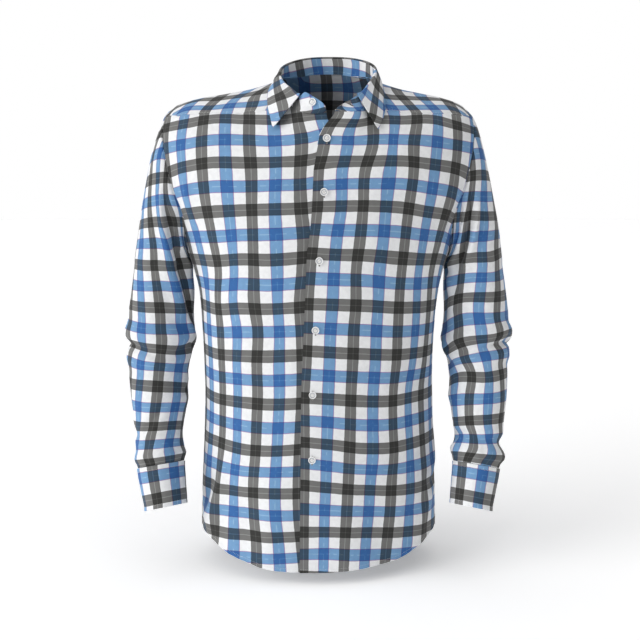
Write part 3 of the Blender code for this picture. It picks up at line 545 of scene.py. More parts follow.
# folds as lines of (aside, along, height, half width), all in millimetres on the flat cloth
folds = {
    "sleeveRight": (
        ((100, -440, 0.5, 9), (108, -400, 3.0, 11), (109, -360, 4.0, 11), (108, -317, 4.5, 12),
         (122, -278, 4.5, 12), (134, -246, 4.0, 11), (154, -221, 2.5, 10), (166, -202, 1.0, 8)),
        ((130, -430, -1.0, 12), (135, -380, -4.5, 14), (134, -340, -6.0, 15),
         (132, -310, -5.5, 14), (148, -272, -4.5, 13), (162, -240, -3.0, 10)),
        ((150, -390, 0.5, 5), (156, -350, 2.0, 6), (152, -300, 1.2, 6), (164, -262, 0.4, 5)),
        ((-20, -200, -1.0, 6), (10, -207, -4.0, 6), (34, -199, -3.4, 6), (59, -189, -3.0, 6),
         (80, -177, -3.0, 6.5), (100, -172, -2.6, 7), (126, -177, -2.2, 7), (158, -193, -3.5, 8)),
        ((-6, -228, 2.6, 11), (50, -214, 2.6, 12), (100, -197, 2.0, 13), (150, -212, 2.4, 12)),
        ((0, -186, 2.0, 9), (40, -170, 1.6, 10), (100, -150, 1.2, 12)),
        ((172, -120, -3.5, 6), (150, -116, -2.2, 6), (128, -110, -0.5, 6)),
        ((172, -138, 2.6, 9), (140, -134, 1.0, 10)),
        ((172, -97, 3.2, 11), (148, -95, 1.2, 12)),
        ((54, -58, -1.4, 6), (72, -74, -2.0, 6), (92, -92, -1.0, 7)),
        ((-30, -70, -1.0, 8), (6, -62, -2.2, 8), (30, -50, -1.2, 8)),
        ((-160, -14, 2.4, 9), (-60, -12, 2.0, 9), (20, -13, 2.2, 9), (90, -13, 2.2, 9),
         (150, -13, 3.4, 8), (180, -13, 3.0, 8)),
        ((48, -2, -1.8, 4), (52, -34, -0.6, 6)),
        ((104, -2, -1.6, 4), (98, -40, -0.6, 6)),
        ((-60, -410, 1.5, 14), (-92, -330, 3.2, 15), (-104, -262, 1.2, 12)),
        ((-120, -400, -1.5, 12), (-140, -330, -3.6, 14), (-128, -270, -1.5, 12)),
        ((-30, -216, -2.6, 8), (-80, -196, -3.2, 8), (-130, -202, -2.0, 8)),
        ((-40, -150, 1.6, 12), (-100, -120, 1.8, 13)),
    ),
    "sleeveLeft": (
        ((100, -432, 0.8, 7), (100, -415, 3.2, 7), (102, -378, 4.4, 7), (102, -346, 3.6, 7),
         (107, -329, 2.0, 8), (116, -308, 1.0, 8)),
        ((132, -436, -2.0, 7), (126, -404, -5.4, 7), (122, -370, -6.4, 7),
         (122, -335, -5.6, 7), (128, -296, -3.6, 7), (138, -262, -1.4, 8)),
        ((156, -440, 1.0, 7), (150, -404, 2.6, 7), (144, -366, 3.0, 8), (146, -320, 1.6, 8)),
        ((166, -420, -1.0, 5), (164, -380, -3.0, 5), (162, -330, -2.6, 5), (166, -290, -1.0, 6)),
        ((152, -300, 2.2, 7), (140, -268, 2.6, 8), (150, -236, 1.2, 9)),
        ((-20, -196, -1.5, 6), (6, -204, -5.0, 5), (23, -208, -4.6, 5), (59, -196, -3.6, 6),
         (80, -187, -3.0, 6), (115, -179, -2.2, 7), (150, -184, -2.0, 8)),
        ((-14, -222, 2.4, 9), (30, -227, 3.2, 10), (70, -213, 2.6, 11), (120, -200, 1.6, 12)),
        ((0, -184, 1.6, 8), (36, -184, 2.2, 8), (70, -171, 2.2, 9), (110, -160, 1.4, 10)),
        ((170, -166, -3.4, 7), (146, -158, -1.6, 8)),
        ((168, -188, 2.0, 9), (140, -174, 1.4, 10)),
        ((172, -108, 3.4, 8), (150, -108, 1.4, 10)),
        ((172, -86, -1.8, 7), (150, -84, -0.8, 8)),
        ((-20, -40, -1.6, 8), (0, -43, -2.6, 8), (40, -41, -2.6, 8), (90, -45, -2.2, 8),
         (140, -39, -3.2, 8), (172, -36, -2.6, 8)),
        ((-160, -14, 2.4, 9), (-50, -14, 2.6, 10), (0, -18, 4.4, 11), (40, -15, 3.2, 11),
         (90, -15, 2.8, 11), (140, -18, 3.4, 10), (180, -16, 3.0, 9)),
        ((60, -2, -1.8, 4), (66, -36, -0.6, 6)),
        ((112, -2, -1.6, 4), (106, -32, -0.6, 6)),
        ((-56, -404, 1.5, 14), (-84, -340, 3.0, 15), (-108, -270, 1.4, 12)),
        ((-118, -396, -1.5, 12), (-136, -338, -3.4, 14), (-132, -278, -1.5, 12)),
        ((-34, -220, -2.4, 8), (-84, -202, -3.0, 8), (-128, -206, -2.0, 8)),
        ((-44, -146, 1.8, 12), (-96, -116, 1.6, 13)),
    ),
    "frontRight": (
        ((150, -420, 0.5, 14), (158, -462, 2.6, 12), (161, -486, 3.6, 12), (173, -514, 4.6, 14),
         (196, -548, 6.0, 18)),
        ((176, -440, -0.5, 10), (186, -480, -2.4, 11), (206, -520, -3.4, 13)),
        ((218, 14, 0.8, 9), (212, -25, 2.8, 9), (206, -62, 1.6, 10)),
        ((232, -6, -1.2, 7), (228, -40, -2.0, 7), (224, -70, -1.0, 8)),
        ((60, 60, 0.4, 16), (70, -20, 1.2, 20), (66, -120, 0.6, 22)),
        ((110, -180, 0.4, 18), (118, -280, 1.6, 22), (112, -380, 0.8, 20)),
        ((70, -420, 0.4, 16), (64, -500, 1.6, 18), (66, -590, 2.4, 20)),
        ((110, -470, -0.4, 16), (112, -540, -1.8, 18), (108, -600, -2.6, 20)),
    ),
    "frontLeft": (
        ((222, -4, 1.0, 8), (214, -40, 3.4, 8), (205, -70, 2.6, 9), (200, -104, 0.8, 9)),
        ((236, -16, -1.6, 6), (228, -50, -2.6, 6), (220, -78, -1.4, 7)),
        ((238, -400, 0.5, 10), (238, -436, 3.0, 10), (236, -462, 3.4, 9), (222, -476, 1.0, 9)),
        ((240, -494, -3.6, 8), (218, -492, -2.0, 8), (196, -482, -0.6, 9)),
        ((210, -520, 2.6, 12), (180, -556, 3.0, 16), (176, -580, 3.0, 18)),
        ((80, 50, 0.4, 16), (74, -40, 1.4, 20), (84, -130, 0.6, 22)),
        ((120, -190, 0.4, 18), (126, -290, 1.4, 22), (116, -370, 0.6, 20)),
        ((60, -430, 0.4, 16), (58, -510, 1.4, 18), (56, -590, 2.0, 20)),
        ((104, -470, -0.4, 16), (106, -540, -1.8, 18), (112, -600, -2.6, 20)),
    ),
    "backBody": (
        ((-196, -10, 1.0, 10), (-186, -70, 3.4, 12), (-168, -140, 1.6, 14)),
        ((196, -10, 1.0, 10), (184, -74, 3.6, 12), (170, -136, 1.4, 14)),
        ((-150, -30, -0.6, 14), (-142, -120, -2.6, 16), (-120, -210, -1.0, 16)),
        ((152, -24, -0.6, 14), (140, -116, -2.4, 16), (124, -220, -1.0, 16)),
        ((-70, -120, 0.5, 20), (-82, -220, 2.6, 22), (-74, -330, 3.0, 22), (-60, -440, 1.0, 22)),
        ((62, -100, 0.5, 20), (76, -210, 2.4, 22), (84, -330, 3.2, 22), (72, -430, 1.2, 22)),
        ((0, -200, -0.5, 20), (6, -310, -2.6, 24), (-4, -420, -1.5, 24)),
        ((-130, -380, 0.5, 16), (-140, -470, 2.6, 18), (-136, -580, 4.4, 22)),
        ((134, -370, 0.5, 16), (142, -470, 2.8, 18), (146, -580, 4.0, 22)),
        ((-40, -440, 0.5, 18), (-46, -530, 2.2, 20), (-44, -620, 3.6, 24)),
        ((38, -450, 0.5, 18), (48, -540, 2.4, 20), (52, -620, 3.4, 24)),
        ((-90, -470, -0.8, 18), (-92, -550, -2.4, 20), (-90, -620, -3.6, 22)),
        ((0, -470, -0.8, 18), (2, -550, -2.0, 20), (4, -624, -3.0, 22)),
        ((94, -470, -0.8, 18), (98, -550, -2.4, 20), (98, -620, -3.4, 22)),
        ((-206, -400, 2.0, 12), (-168, -372, 0.8, 12)),
        ((208, -410, 2.2, 12), (172, -380, 0.8, 12)),
    ),
}
foldShare = {"sleeve": 1.4}      # the sleeves crease more sharply than the body
# size of each piece's slow swells in metres, and where they start
swells = {
    "sleeveRight": (0.00045, 0.4), "sleeveLeft": (0.00045, 2.9), "frontRight": (0.00035, 1.1),
    "frontLeft": (0.00035, 4.2), "backBody": (0.00060, 5.0), "yokeBody": (0.00025, 0.9),
    "cuffRight": (0.00015, 2.2), "cuffLeft": (0.00015, 3.7), "collarStand": (0.00010, 1.6),
    "collarFall": (0.00020, 0.2), "sleeveStripRight": (0, 0), "sleeveStripLeft": (0, 0),
}


def relieved(points, flat, inside, name, closed=False, edges=(sewnRelief,) * 4):
    # the plain form with its folds, slow swells, and the bulk at its seams and hems
    normal = outward(points, inside, closed)
    runs = edgeRuns(points)
    top, first = runs[0], runs[2]
    sewn = [run for run, edge in zip(runs, edges) if edge in (sewnRelief, fineRelief, armRelief)]
    fade = smoothStep(np.min(sewn, axis=0) / 0.014) if sewn else 1.0
    a, b = flat[..., 0] * 1000, flat[..., 1] * 1000
    height = creaseHeight(a, b, folds.get(name, ())) / 1000 * foldShare.get(name[:6], 1.0)
    height = (height + softWaves(flat[..., 0], flat[..., 1], *swells[name])) * fade
    for run, along, edge in zip(runs, (first, first, top, top), edges):
        if edge:
            height = height + edge(run, along)
    return points + normal * height[..., None]


# the made cloth pieces by name, and each piece's grid of points with its outward normals
clothPieces, shapes = {}, {}


def clothPiece(name, grid, flat, finish, inside, wall=0.0010, closed=False, inward=True):
    # an open sheet through a grid of points; flat holds each point's place on the flat cloth
    rows, columns = grid.shape[:2]
    shapes[name] = grid, outward(grid, inside, closed)
    used = columns - 1 if closed else columns
    normal = gridNormals(grid, closed)
    turned = (normal * (grid - np.array(inside))).sum() < 0
    points = grid[:, :used].reshape(-1, 3)
    i, j = np.meshgrid(np.arange(rows - 1), np.arange(columns - 1), indexing="ij")
    corners = [(i, j), (i, j + 1), (i + 1, j + 1), (i + 1, j)]
    if turned:
        corners = corners[::-1]
    corners = [(r.ravel(), c.ravel()) for r, c in corners]
    faces = np.stack([r * used + c % used for r, c in corners], 1)
    places = np.stack([flat[r, c] for r, c in corners], 1).reshape(-1, 2)
    mesh = bpy.data.meshes.new(name)
    mesh.from_pydata(points.tolist(), [], faces.tolist())
    layer = mesh.uv_layers.new(name="flat")
    layer.data.foreach_set("uv", places.ravel())
    mesh.materials.append(finish)
    made = bpy.data.objects.new(name, mesh)
    scene.collection.objects.link(made)
    shell = made.modifiers.new("wall", "SOLIDIFY")
    shell.thickness = wall
    shell.offset = -1.0 if inward else 1.0
    bpy.ops.object.select_all(action="DESELECT")
    made.select_set(True)
    bpy.context.view_layer.objects.active = made
    bpy.ops.object.modifier_apply(modifier="wall")
    bpy.ops.object.shade_smooth_by_angle(angle=math.radians(50))
    made.select_set(False)
    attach(made, "root")
    clothPieces[name] = made
    return made


# Materials
def linearColour(hexColour):
    parts = [int(hexColour[i:i + 2], 16) / 255 for i in (1, 3, 5)]
    return [p / 12.92 if p <= 0.04045 else ((p + 0.055) / 1.055) ** 2.4 for p in parts] + [1.0]


def addNode(tree, kind, inputs=None, **settings):
    made = tree.nodes.new(kind)
    for name, value in settings.items():
        setattr(made, name, value)
    for name, value in (inputs or {}).items():
        if isinstance(value, bpy.types.NodeSocket):
            tree.links.new(value, made.inputs[name])
        else:
            made.inputs[name].default_value = value
    return made


def newFinish(name):
    finish = bpy.data.materials.new(name)
    finish.use_nodes = True
    tree = finish.node_tree
    return finish, tree, tree.nodes["Principled BSDF"]


cloth = {
    "repeat": 0.072,            # grey, white, blue, white, 18 mm each, both ways
    "white": "#edeeef",
    "roughness": 0.82,
    # share of the light that each yarn colour lets through, from the middle of a grey band
    # out to the middle of the next blue one, in millimetres
    "bands": (
        ("millimetres", "red", "green", "blue"),
        (0.00, 0.34, 0.34, 0.33),
        (0.45, 0.31, 0.31, 0.30),
        (0.80, 0.196, 0.194, 0.187),
        (7.60, 0.200, 0.198, 0.190),
        (8.90, 0.165, 0.163, 0.156),
        (9.30, 1.00, 1.00, 1.00),
        (26.40, 1.00, 1.00, 1.00),
        (26.80, 0.44, 0.27, 0.46),
        (27.50, 0.33, 0.26, 0.52),
        (28.00, 0.198, 0.385, 0.645),
        (35.00, 0.208, 0.400, 0.660),
        (35.40, 0.30, 0.50, 0.72),
        (36.00, 0.36, 0.57, 0.76),
    ),
}


def makeCheckCloth():
    # soft brushed cotton in a yarn-dyed check: matt, with a faint nap that catches the light
    finish, tree, shader = newFinish("brushedCottonCheck")
    flat = addNode(tree, "ShaderNodeUVMap", uv_map="flat").outputs["UV"]
    drift = addNode(tree, "ShaderNodeTexNoise",
                    {"Vector": flat, "Scale": 90.0, "Detail": 2.0}).outputs["Color"]
    centred = addNode(tree, "ShaderNodeVectorMath", {0: drift, 1: (0.5, 0.5, 0.5)},
                      operation="SUBTRACT").outputs["Vector"]
    small = addNode(tree, "ShaderNodeVectorMath", {0: centred, "Scale": 0.0009},
                    operation="SCALE").outputs["Vector"]
    place = addNode(tree, "ShaderNodeVectorMath", {0: flat, 1: small},
                    operation="ADD").outputs["Vector"]
    repeats = addNode(tree, "ShaderNodeVectorMath", {0: place, "Scale": 1 / cloth["repeat"]},
                      operation="SCALE").outputs["Vector"]
    split = addNode(tree, "ShaderNodeSeparateXYZ", {0: repeats})
    # the pale thread down a blue band comes and goes
    gaps = addNode(tree, "ShaderNodeTexNoise", {"Vector": flat, "Scale": 85.0, "Detail": 0.0})
    limit = addNode(tree, "ShaderNodeMapRange",
                    {"Value": gaps.outputs["Fac"], "From Min": 0.46, "From Max": 0.52,
                     "To Min": 1.0, "To Max": 0.972}).outputs["Result"]
    colour = None
    for axis in ("X", "Y"):
        away = addNode(tree, "ShaderNodeMath", {0: split.outputs[axis], 1: 0.5},
                       operation="PINGPONG").outputs[0]
        full = addNode(tree, "ShaderNodeMath", {0: away, 1: 2.0},
                       operation="MULTIPLY").outputs[0]
        full = addNode(tree, "ShaderNodeMath", {0: full, 1: limit},
                       operation="MINIMUM").outputs[0]
        ramp = addNode(tree, "ShaderNodeValToRGB", {"Fac": full})
        steps = ramp.color_ramp.elements
        rows = cloth["bands"][1:]
        for _ in range(len(rows) - 2):
            steps.new(0.5)
        for step, (millimetres, *tint) in zip(steps, rows):
            step.position = millimetres / (500 * cloth["repeat"])
            step.color = (*tint, 1.0)
        tint = ramp.outputs["Color"]
        base = linearColour(cloth["white"]) if colour is None else colour
        colour = addNode(tree, "ShaderNodeMix", {"Factor": 1.0, 6: base, 7: tint},
                         data_type="RGBA", blend_type="MULTIPLY").outputs[2]
    mottle = addNode(tree, "ShaderNodeTexNoise", {"Vector": flat, "Scale": 120.0, "Detail": 4.0,
                                                  "Roughness": 0.65}).outputs["Fac"]
    cloudy = addNode(tree, "ShaderNodeMapRange",
                     {"Value": mottle, "From Min": 0.3, "From Max": 0.7,
                      "To Min": 0.94, "To Max": 1.05}).outputs["Result"]
    brushed = addNode(tree, "ShaderNodeVectorMath", {0: colour, "Scale": cloudy},
                      operation="SCALE").outputs["Vector"]
    tree.links.new(brushed, shader.inputs["Base Color"])
    # yarns 0.5 mm apart, drawn at 0.9 mm so that they hold together from a distance
    yarn = None
    for axis in ("X", "Y"):
        count = addNode(tree, "ShaderNodeMath", {0: split.outputs[axis],
                                                 1: 2 * math.pi * cloth["repeat"] / 0.0009},
                        operation="MULTIPLY").outputs[0]
        wave = addNode(tree, "ShaderNodeMath", {0: count}, operation="SINE").outputs[0]
        yarn = wave if yarn is None else addNode(tree, "ShaderNodeMath", {0: yarn, 1: wave},
                                                 operation="MULTIPLY").outputs[0]
    nap = addNode(tree, "ShaderNodeTexNoise", {"Vector": flat, "Scale": 700.0, "Detail": 3.0})
    relief = addNode(tree, "ShaderNodeMath", {0: yarn, 1: 0.35, 2: nap.outputs["Fac"]},
                     operation="MULTIPLY_ADD").outputs[0]
    bump = addNode(tree, "ShaderNodeBump", {"Height": relief, "Distance": 0.00018,
                                            "Strength": 0.5})
    tree.links.new(bump.outputs["Normal"], shader.inputs["Normal"])
    shader.inputs["Roughness"].default_value = cloth["roughness"]
    shader.inputs["Sheen Weight"].default_value = 0.12
    shader.inputs["Sheen Roughness"].default_value = 0.5
    shader.inputs["Specular IOR Level"].default_value = 0.25
    return finish


checkCloth = makeCheckCloth()
print("materials made")


def frontPanel(side):
    name = "left" if side > 0 else "right"
    width = float(flatAt(-0.45, 1.0, False)[0])
    edge = torso["edgeFromCentre"]
    arounds = (spread(width + edge, 0.0042, seamRows, seamRows) - edge) / width
    tops = []
    for around in arounds:
        if around <= neck["cornerAround"]:
            if around < 0:
                angle = 180 + (edgeAngle - 180) * around / arounds[0]
            else:
                angle = 180 + (cornerAngle - 180) * around / neck["cornerAround"]
            across, way, _ = neckPlace(angle)
        else:
            part = (around - neck["cornerAround"]) / (1 - neck["cornerAround"])
            across = cornerAcross + (1 - cornerAcross) * part
            way = float(seamWay(across))
        tops.append((across, levelOf(way)))
    armAngles = 180 - (180 - neck["yokeFrontArm"]) * (1 - spread(0.225, 0.0042, seamRows) / 0.225)
    hemZ = [float(hem[name](abs(a))) for a in arounds]
    points, places, levels = panel(tops, arounds, armAngles, hemZ, False)
    flat = np.stack(flatAt(levels, places, False), -1)
    if side < 0:
        points = points * (-1, 1, 1)
        normal = outward(points, (0, 0.05, -0.4))
        reach = smoothStep((points[..., 0] - torso["lapFrom"]) / torso["lapBlend"])
        points = points - normal * torso["lapSink"] * reach[..., None]
    points = pullIn(settle(points, side), top=0.0002, last=0.00005)
    return points, flat


def backPanel():
    width = float(flatAt(-0.45, 1.0, True)[0])
    half = spread(width, 0.0044, (), seamRows) / width
    x = rowAt(np.full(len(half), chestZ), half, True)[:, 0] / armholeX(chestZ)
    tops = [(a, levelOf(float(findWay(a, neck["yokeBackZ"], True, False)))) for a in x]
    armAngles = 180 - (180 - yokeBackArm) * (1 - spread(0.160, 0.0044, seamRows) / 0.160)
    hemZ = [float(hem["back"](a)) for a in half]
    points, places, levels = panel(tops, half, armAngles, hemZ, True)
    flat = np.stack(flatAt(levels, places, True), -1)
    points = np.concatenate(((points * (-1, 1, 1))[:, :0:-1], points), 1)
    flat = np.concatenate(((flat * (-1, 1))[:, :0:-1], flat), 1)
    return pullIn(settle(points), top=0.0002, first=0.00005, last=0.00005), flat


def yokePanel():
    count = 46
    parts = np.linspace(0, 1, count + 1)
    split = 0.56
    inner = []
    for part in parts:
        if part <= split:
            across = 1 + (cornerAcross - 1) * part / split
            inner.append((across, -float(seamWay(across))))
        else:
            across, way, back = neckPlace(cornerAngle * (1 - (part - split) / (1 - split)))
            inner.append((across, way if back else -way))
    arounds = 1 - parts
    x = rowAt(np.full(count + 1, chestZ), arounds, True)[:, 0] / armholeX(chestZ)
    outer = [(a, float(findWay(abs(a), neck["yokeBackZ"], True, False))) for a in x]
    down = spread(0.190, 0.0044, seamRows, seamRows) / 0.190
    start, end = np.array(inner), np.array(outer)
    across = start[:, 0] + (end - start)[:, 0] * down[:, None] ** neck["yokeFlare"]
    way = start[:, 1] + (end - start)[:, 1] * down[:, None]
    back = way > 0
    level = levelOf(np.abs(way))
    points = np.where(back[..., None], over(across, np.abs(way), True),
                      over(across, np.abs(way), False))
    uBack, vBack = flatAt(level, aroundOf(across, True), True)
    uFront, vFront = flatAt(level, aroundOf(across, False), False)
    ridgeBack = flatAt(levelOf(0), aroundOf(across, True), True)
    ridgeFront = flatAt(levelOf(0), aroundOf(across, False), False)
    u = np.where(back, uBack, uFront - ridgeFront[0] + ridgeBack[0])
    v = np.where(back, vBack, ridgeBack[1] + ridgeFront[1] - vFront)
    flat = np.stack((u, v), -1)
    left, right = settle(points, 1), settle(points * (-1, 1, 1), -1)
    points = np.concatenate((left, right[:, -2::-1]), 1)
    flat = np.concatenate((flat, (flat * (-1, 1))[:, -2::-1]), 1)
    points = pullIn(points, top=0.0002, bottom=0.0002, first=0.0003, last=0.0003)
    atNeck = np.concatenate((parts > split, (parts > split)[-2::-1]))
    points[0, atNeck] += (points[1] - points[0])[atNeck] * 0.7    # tucked under the stand
    return points, flat


# Sleeves: a cap that leaves the armhole, then rings square to the arm
sleeve = readTable((
    ("z", "x", "y", "halfWidth", "halfDepth", "tilt", "pitch"),
    (-0.292, 0.2530, 0.010, 0.0465, 0.0640, 7.0, 0.0),
    (-0.330, 0.2555, 0.012, 0.0495, 0.0620, 6.0, 0.0),
    (-0.370, 0.2595, 0.013, 0.0520, 0.0590, 5.0, 2.0),
    (-0.398, 0.2605, 0.012, 0.0550, 0.0570, 2.0, 4.0),
    (-0.416, 0.2590, 0.010, 0.0565, 0.0550, 0.0, 5.0),
    (-0.440, 0.2617, 0.006, 0.0518, 0.0540, -1.0, 7.0),
    (-0.478, 0.2640, -0.001, 0.0475, 0.0520, -2.0, 9.0),
    (-0.512, 0.2620, -0.008, 0.0465, 0.0500, -3.0, 11.0),
    (-0.544, 0.2618, -0.015, 0.0420, 0.0475, -5.0, 12.0),
    (-0.576, 0.2615, -0.023, 0.0382, 0.0450, -7.0, 13.0),
    (-0.599, 0.2592, -0.029, 0.0400, 0.0440, -9.0, 14.0),
    (-0.6190, 0.2571, -0.0350, 0.0382, 0.0415, -10.0, 15.0),
))
cuff = readTable((
    ("z", "x", "y", "halfWidth", "halfDepth", "tilt", "pitch"),
    (-0.6196, 0.2571, -0.0352, 0.0390, 0.0422, -10.0, 15.0),
    (-0.6530, 0.2525, -0.0425, 0.0370, 0.0402, -11.0, 16.0),
    (-0.6860, 0.2478, -0.0500, 0.0350, 0.0385, -12.0, 17.0),
))
arm = {
    "capTopZ": -0.292, "endZ": -0.6190, "out": 0.35, "crown": 0.20, "spread": -0.25,
    "down": -0.80, "steep": -0.20, "startPull": 0.55, "endPull": 0.90, "capRows": 30,
    "columns": 96, "underSeam": 192.0, "radius": 0.052, "cuffOpening": 262.0,
    "cuffLap": 0.026, "cuffLift": 0.0017, "liftFrom": 335.0, "liftOver": 25.0,
    "stripWidth": 0.024, "stripLift": 0.0009, "stripRadius": 0.047,
    "cuffTopZ": -0.6196, "cuffMiddleZ": -0.65, "cuffEndZ": -0.6860,
    "cuffSlant": 1.03,        # length along the slanting cuff for each metre of height
    "cuffSpacing": 0.0026, "cuffRowSpacing": 0.0032,
    "cuffCheckRight": (0.0183, -0.0195), "cuffCheckLeft": (-0.0200, -0.0205),
}


def ringPoint(table, z, turn, lift=0.0):
    # turn 0 is outside, 90 the front, 180 inside and 270 the back
    turn = np.radians(turn)
    tilt, pitch = np.radians(table["tilt"](z)), np.radians(table["pitch"](z))
    across = (table["halfWidth"](z) + lift) * np.cos(turn)
    ahead = (table["halfDepth"](z) + lift) * np.sin(turn)
    return np.stack((table["x"](z) + across * np.cos(tilt), table["y"](z) - ahead * np.cos(pitch),
                     z + across * np.sin(tilt) + ahead * np.sin(pitch)), -1)


def sleevePanel():
    turns = arm["underSeam"] + np.linspace(0, 360, arm["columns"] + 1)
    turn = turns % 360
    front = turn <= 180
    level = armLevel(np.where(front, turn, 360 - turn))
    ring = np.where(front[:, None], levelAt(level, 1.0, False), levelAt(level, 1.0, True))
    low = ringPoint(sleeve, np.full(len(turns), arm["capTopZ"]), turn)
    length = np.linalg.norm(low - ring, axis=-1, keepdims=True)
    top, ahead = np.cos(np.radians(turn))[:, None], np.sin(np.radians(turn))[:, None]
    start = np.concatenate((arm["out"] + arm["crown"] * top, arm["spread"] * ahead,
                            arm["down"] + arm["steep"] * np.abs(ahead)), 1)
    start /= np.linalg.norm(start, axis=-1, keepdims=True)
    tilt = math.radians(float(sleeve["tilt"](arm["capTopZ"])))
    end = np.array((math.sin(tilt), 0, -math.cos(tilt)))
    first = np.array(seamRows) / 0.235
    capParts = np.concatenate((first, np.linspace(first[-1], 1, arm["capRows"])[1:]))
    rows = []
    for t in capParts:
        rows.append(ring * (2 * t**3 - 3 * t**2 + 1) + low * (3 * t**2 - 2 * t**3)
                    + start * length * (t**3 - 2 * t**2 + t) * arm["startPull"]
                    + end * length * (t**3 - t**2) * arm["endPull"])
    lengthDown = arm["capTopZ"] - arm["endZ"]
    for down in spread(lengthDown, 0.0042, (), seamRows)[1:]:
        rows.append(ringPoint(sleeve, np.full(len(turns), arm["capTopZ"] - down), turn))
    points = pullIn(np.array(rows), top=0.0005)
    # flat cloth: across from the line over the shoulder point, down from the cap's crown
    steps = np.linalg.norm(np.diff(points, axis=1), axis=-1)
    along = np.concatenate((np.zeros((len(points), 1)), np.cumsum(steps, 1)), 1)
    middle = np.array([np.interp(360.0, turns, row) for row in along])
    u = along - middle[:, None]
    runs = np.linalg.norm(np.diff(points, axis=0), axis=-1)
    fall = np.concatenate((np.zeros((1, len(turns))), np.cumsum(runs, 0)), 0)
    v = fall - fall[-1:]
    return points, np.stack((u, v), -1)


def cuffPanel():
    # once round the wrist and on over its own end
    middleZ = arm["cuffMiddleZ"]
    radius = float(cuff["halfWidth"](middleZ) + cuff["halfDepth"](middleZ)) / 2
    lap = math.degrees(arm["cuffLap"] / radius)
    around = spread(radius * math.radians(360 + lap), arm["cuffSpacing"], seamRows, seamRows)
    turns = arm["cuffOpening"] - lap + around / radius * 180 / math.pi
    lift = arm["cuffLift"] * smoothStep((turns - turns[0] - arm["liftFrom"]) / arm["liftOver"])
    downs = spread(arm["cuffTopZ"] - arm["cuffEndZ"], arm["cuffRowSpacing"], seamRows, seamRows)
    rows = [ringPoint(cuff, np.full(len(turns), arm["cuffTopZ"] - down), turns, lift)
            for down in downs]
    points = np.array(rows)
    down = downs[:, None] * arm["cuffSlant"]
    u = radius * np.radians(turns - 360)[None, :]
    flat = np.stack(np.broadcast_arrays(u, -down), -1)
    return points, flat


def stripPanel():
    # the strip over the slit above the cuff, with a pointed top
    strip = smoothColumn((
        ("z", "share"), (-0.6178, 1.0), (-0.599, 1.0), (-0.576, 1.0), (-0.540, 1.0),
        (-0.501, 1.0), (-0.490, 0.12)), "share")
    half = math.degrees(arm["stripWidth"] / 2 / arm["stripRadius"])
    rows, flat = [], []
    for down in spread(0.1278, 0.0030, seamRows, seamRows):
        z = -0.490 - down
        share = float(strip(z)) if down > 0.012 else 0.12 + 0.88 * down / 0.012
        turns = arm["cuffOpening"] + np.linspace(-half, half, 15) * share
        rows.append(ringPoint(sleeve, np.full(15, z), turns, arm["stripLift"]))
        flat.append(np.stack((np.radians(turns - 360) * arm["stripRadius"],
                              np.full(15, z - arm["endZ"])), -1))
    return np.array(rows), np.array(flat)


# Collar
stand = readTable((
    ("angle", "x", "y", "z"),
    (-194.0, 0.0105, -0.1115, -0.0575),
    (-187.0, 0.0062, -0.1100, -0.0510),
    (-180.0, -0.0010, -0.1060, -0.0450),
    (-170.0, -0.0110, -0.1005, -0.0385),
    (-160.0, -0.0200, -0.0955, -0.0335),
    (-150.0, -0.0275, -0.0900, -0.0378),
    (-135.0, -0.0405, -0.0730, -0.0270),
    (-115.0, -0.0530, -0.0470, -0.0130),
    (-90.0, -0.0592, -0.0180, 0.0045),
    (-60.0, -0.0510, 0.0130, 0.0215),
    (-30.0, -0.0230, 0.0350, 0.0340),
    (0.0, 0.0150, 0.0420, 0.0378),
    (30.0, 0.0530, 0.0355, 0.0352),
    (60.0, 0.0795, 0.0130, 0.0245),
    (90.0, 0.0876, -0.0180, 0.0095),
    (115.0, 0.0835, -0.0450, -0.0050),
    (135.0, 0.0740, -0.0680, -0.0210),
    (150.0, 0.0648, -0.0840, -0.0335),
    (160.0, 0.0580, -0.0905, -0.0375),
    (170.0, 0.0500, -0.0975, -0.0430),
    (180.0, 0.0420, -0.1040, -0.0485),
    (187.0, 0.0362, -0.1085, -0.0520),
    (194.0, 0.0300, -0.1115, -0.0558),
))
fall = readTable((
    ("angle", "x", "z", "lift"),
    (-150.0, -0.0640, -0.0900, 0.0060),
    (-138.0, -0.0685, -0.0700, 0.0050),
    (-125.0, -0.0720, -0.0530, 0.0042),
    (-108.0, -0.0730, -0.0345, 0.0032),
    (-90.0, -0.0665, -0.0150, 0.0028),
    (0.0, 0.0150, -0.0040, 0.0028),
    (90.0, 0.0960, -0.0165, 0.0028),
    (108.0, 0.1000, -0.0345, 0.0032),
    (125.0, 0.0995, -0.0530, 0.0040),
    (138.0, 0.0970, -0.0705, 0.0046),
    (150.0, 0.0878, -0.0920, 0.0052),
))
fallBack = smoothColumn((
    ("angle", "way"), (0.0, 0.300), (30.0, 0.275), (60.0, 0.180), (90.0, -0.060)), "way")
collar = {"end": 150.0, "foldOut": 0.0034, "foldUp": 0.0014, "bow": 0.0035,
          "standWall": 0.0012, "liftPart": 0.7, "foldReach": 9.5, "frontBow": 0.0042,
          "holeAt": (0.0465, -0.104, -0.0525), "holeAlong": (0.16, -0.05, -0.06),
          "holeFacing": (0.45, -0.86, 0.24)}


def neckSeam(angle):
    across, way, back = neckPlace(abs(angle))
    point = over(across, way, back)
    side = 1 if angle > 0 else -1
    point[0] *= side
    return settle(point, side)


def standTop(angle):
    return np.array([float(stand[name](angle)) for name in ("x", "y", "z")])


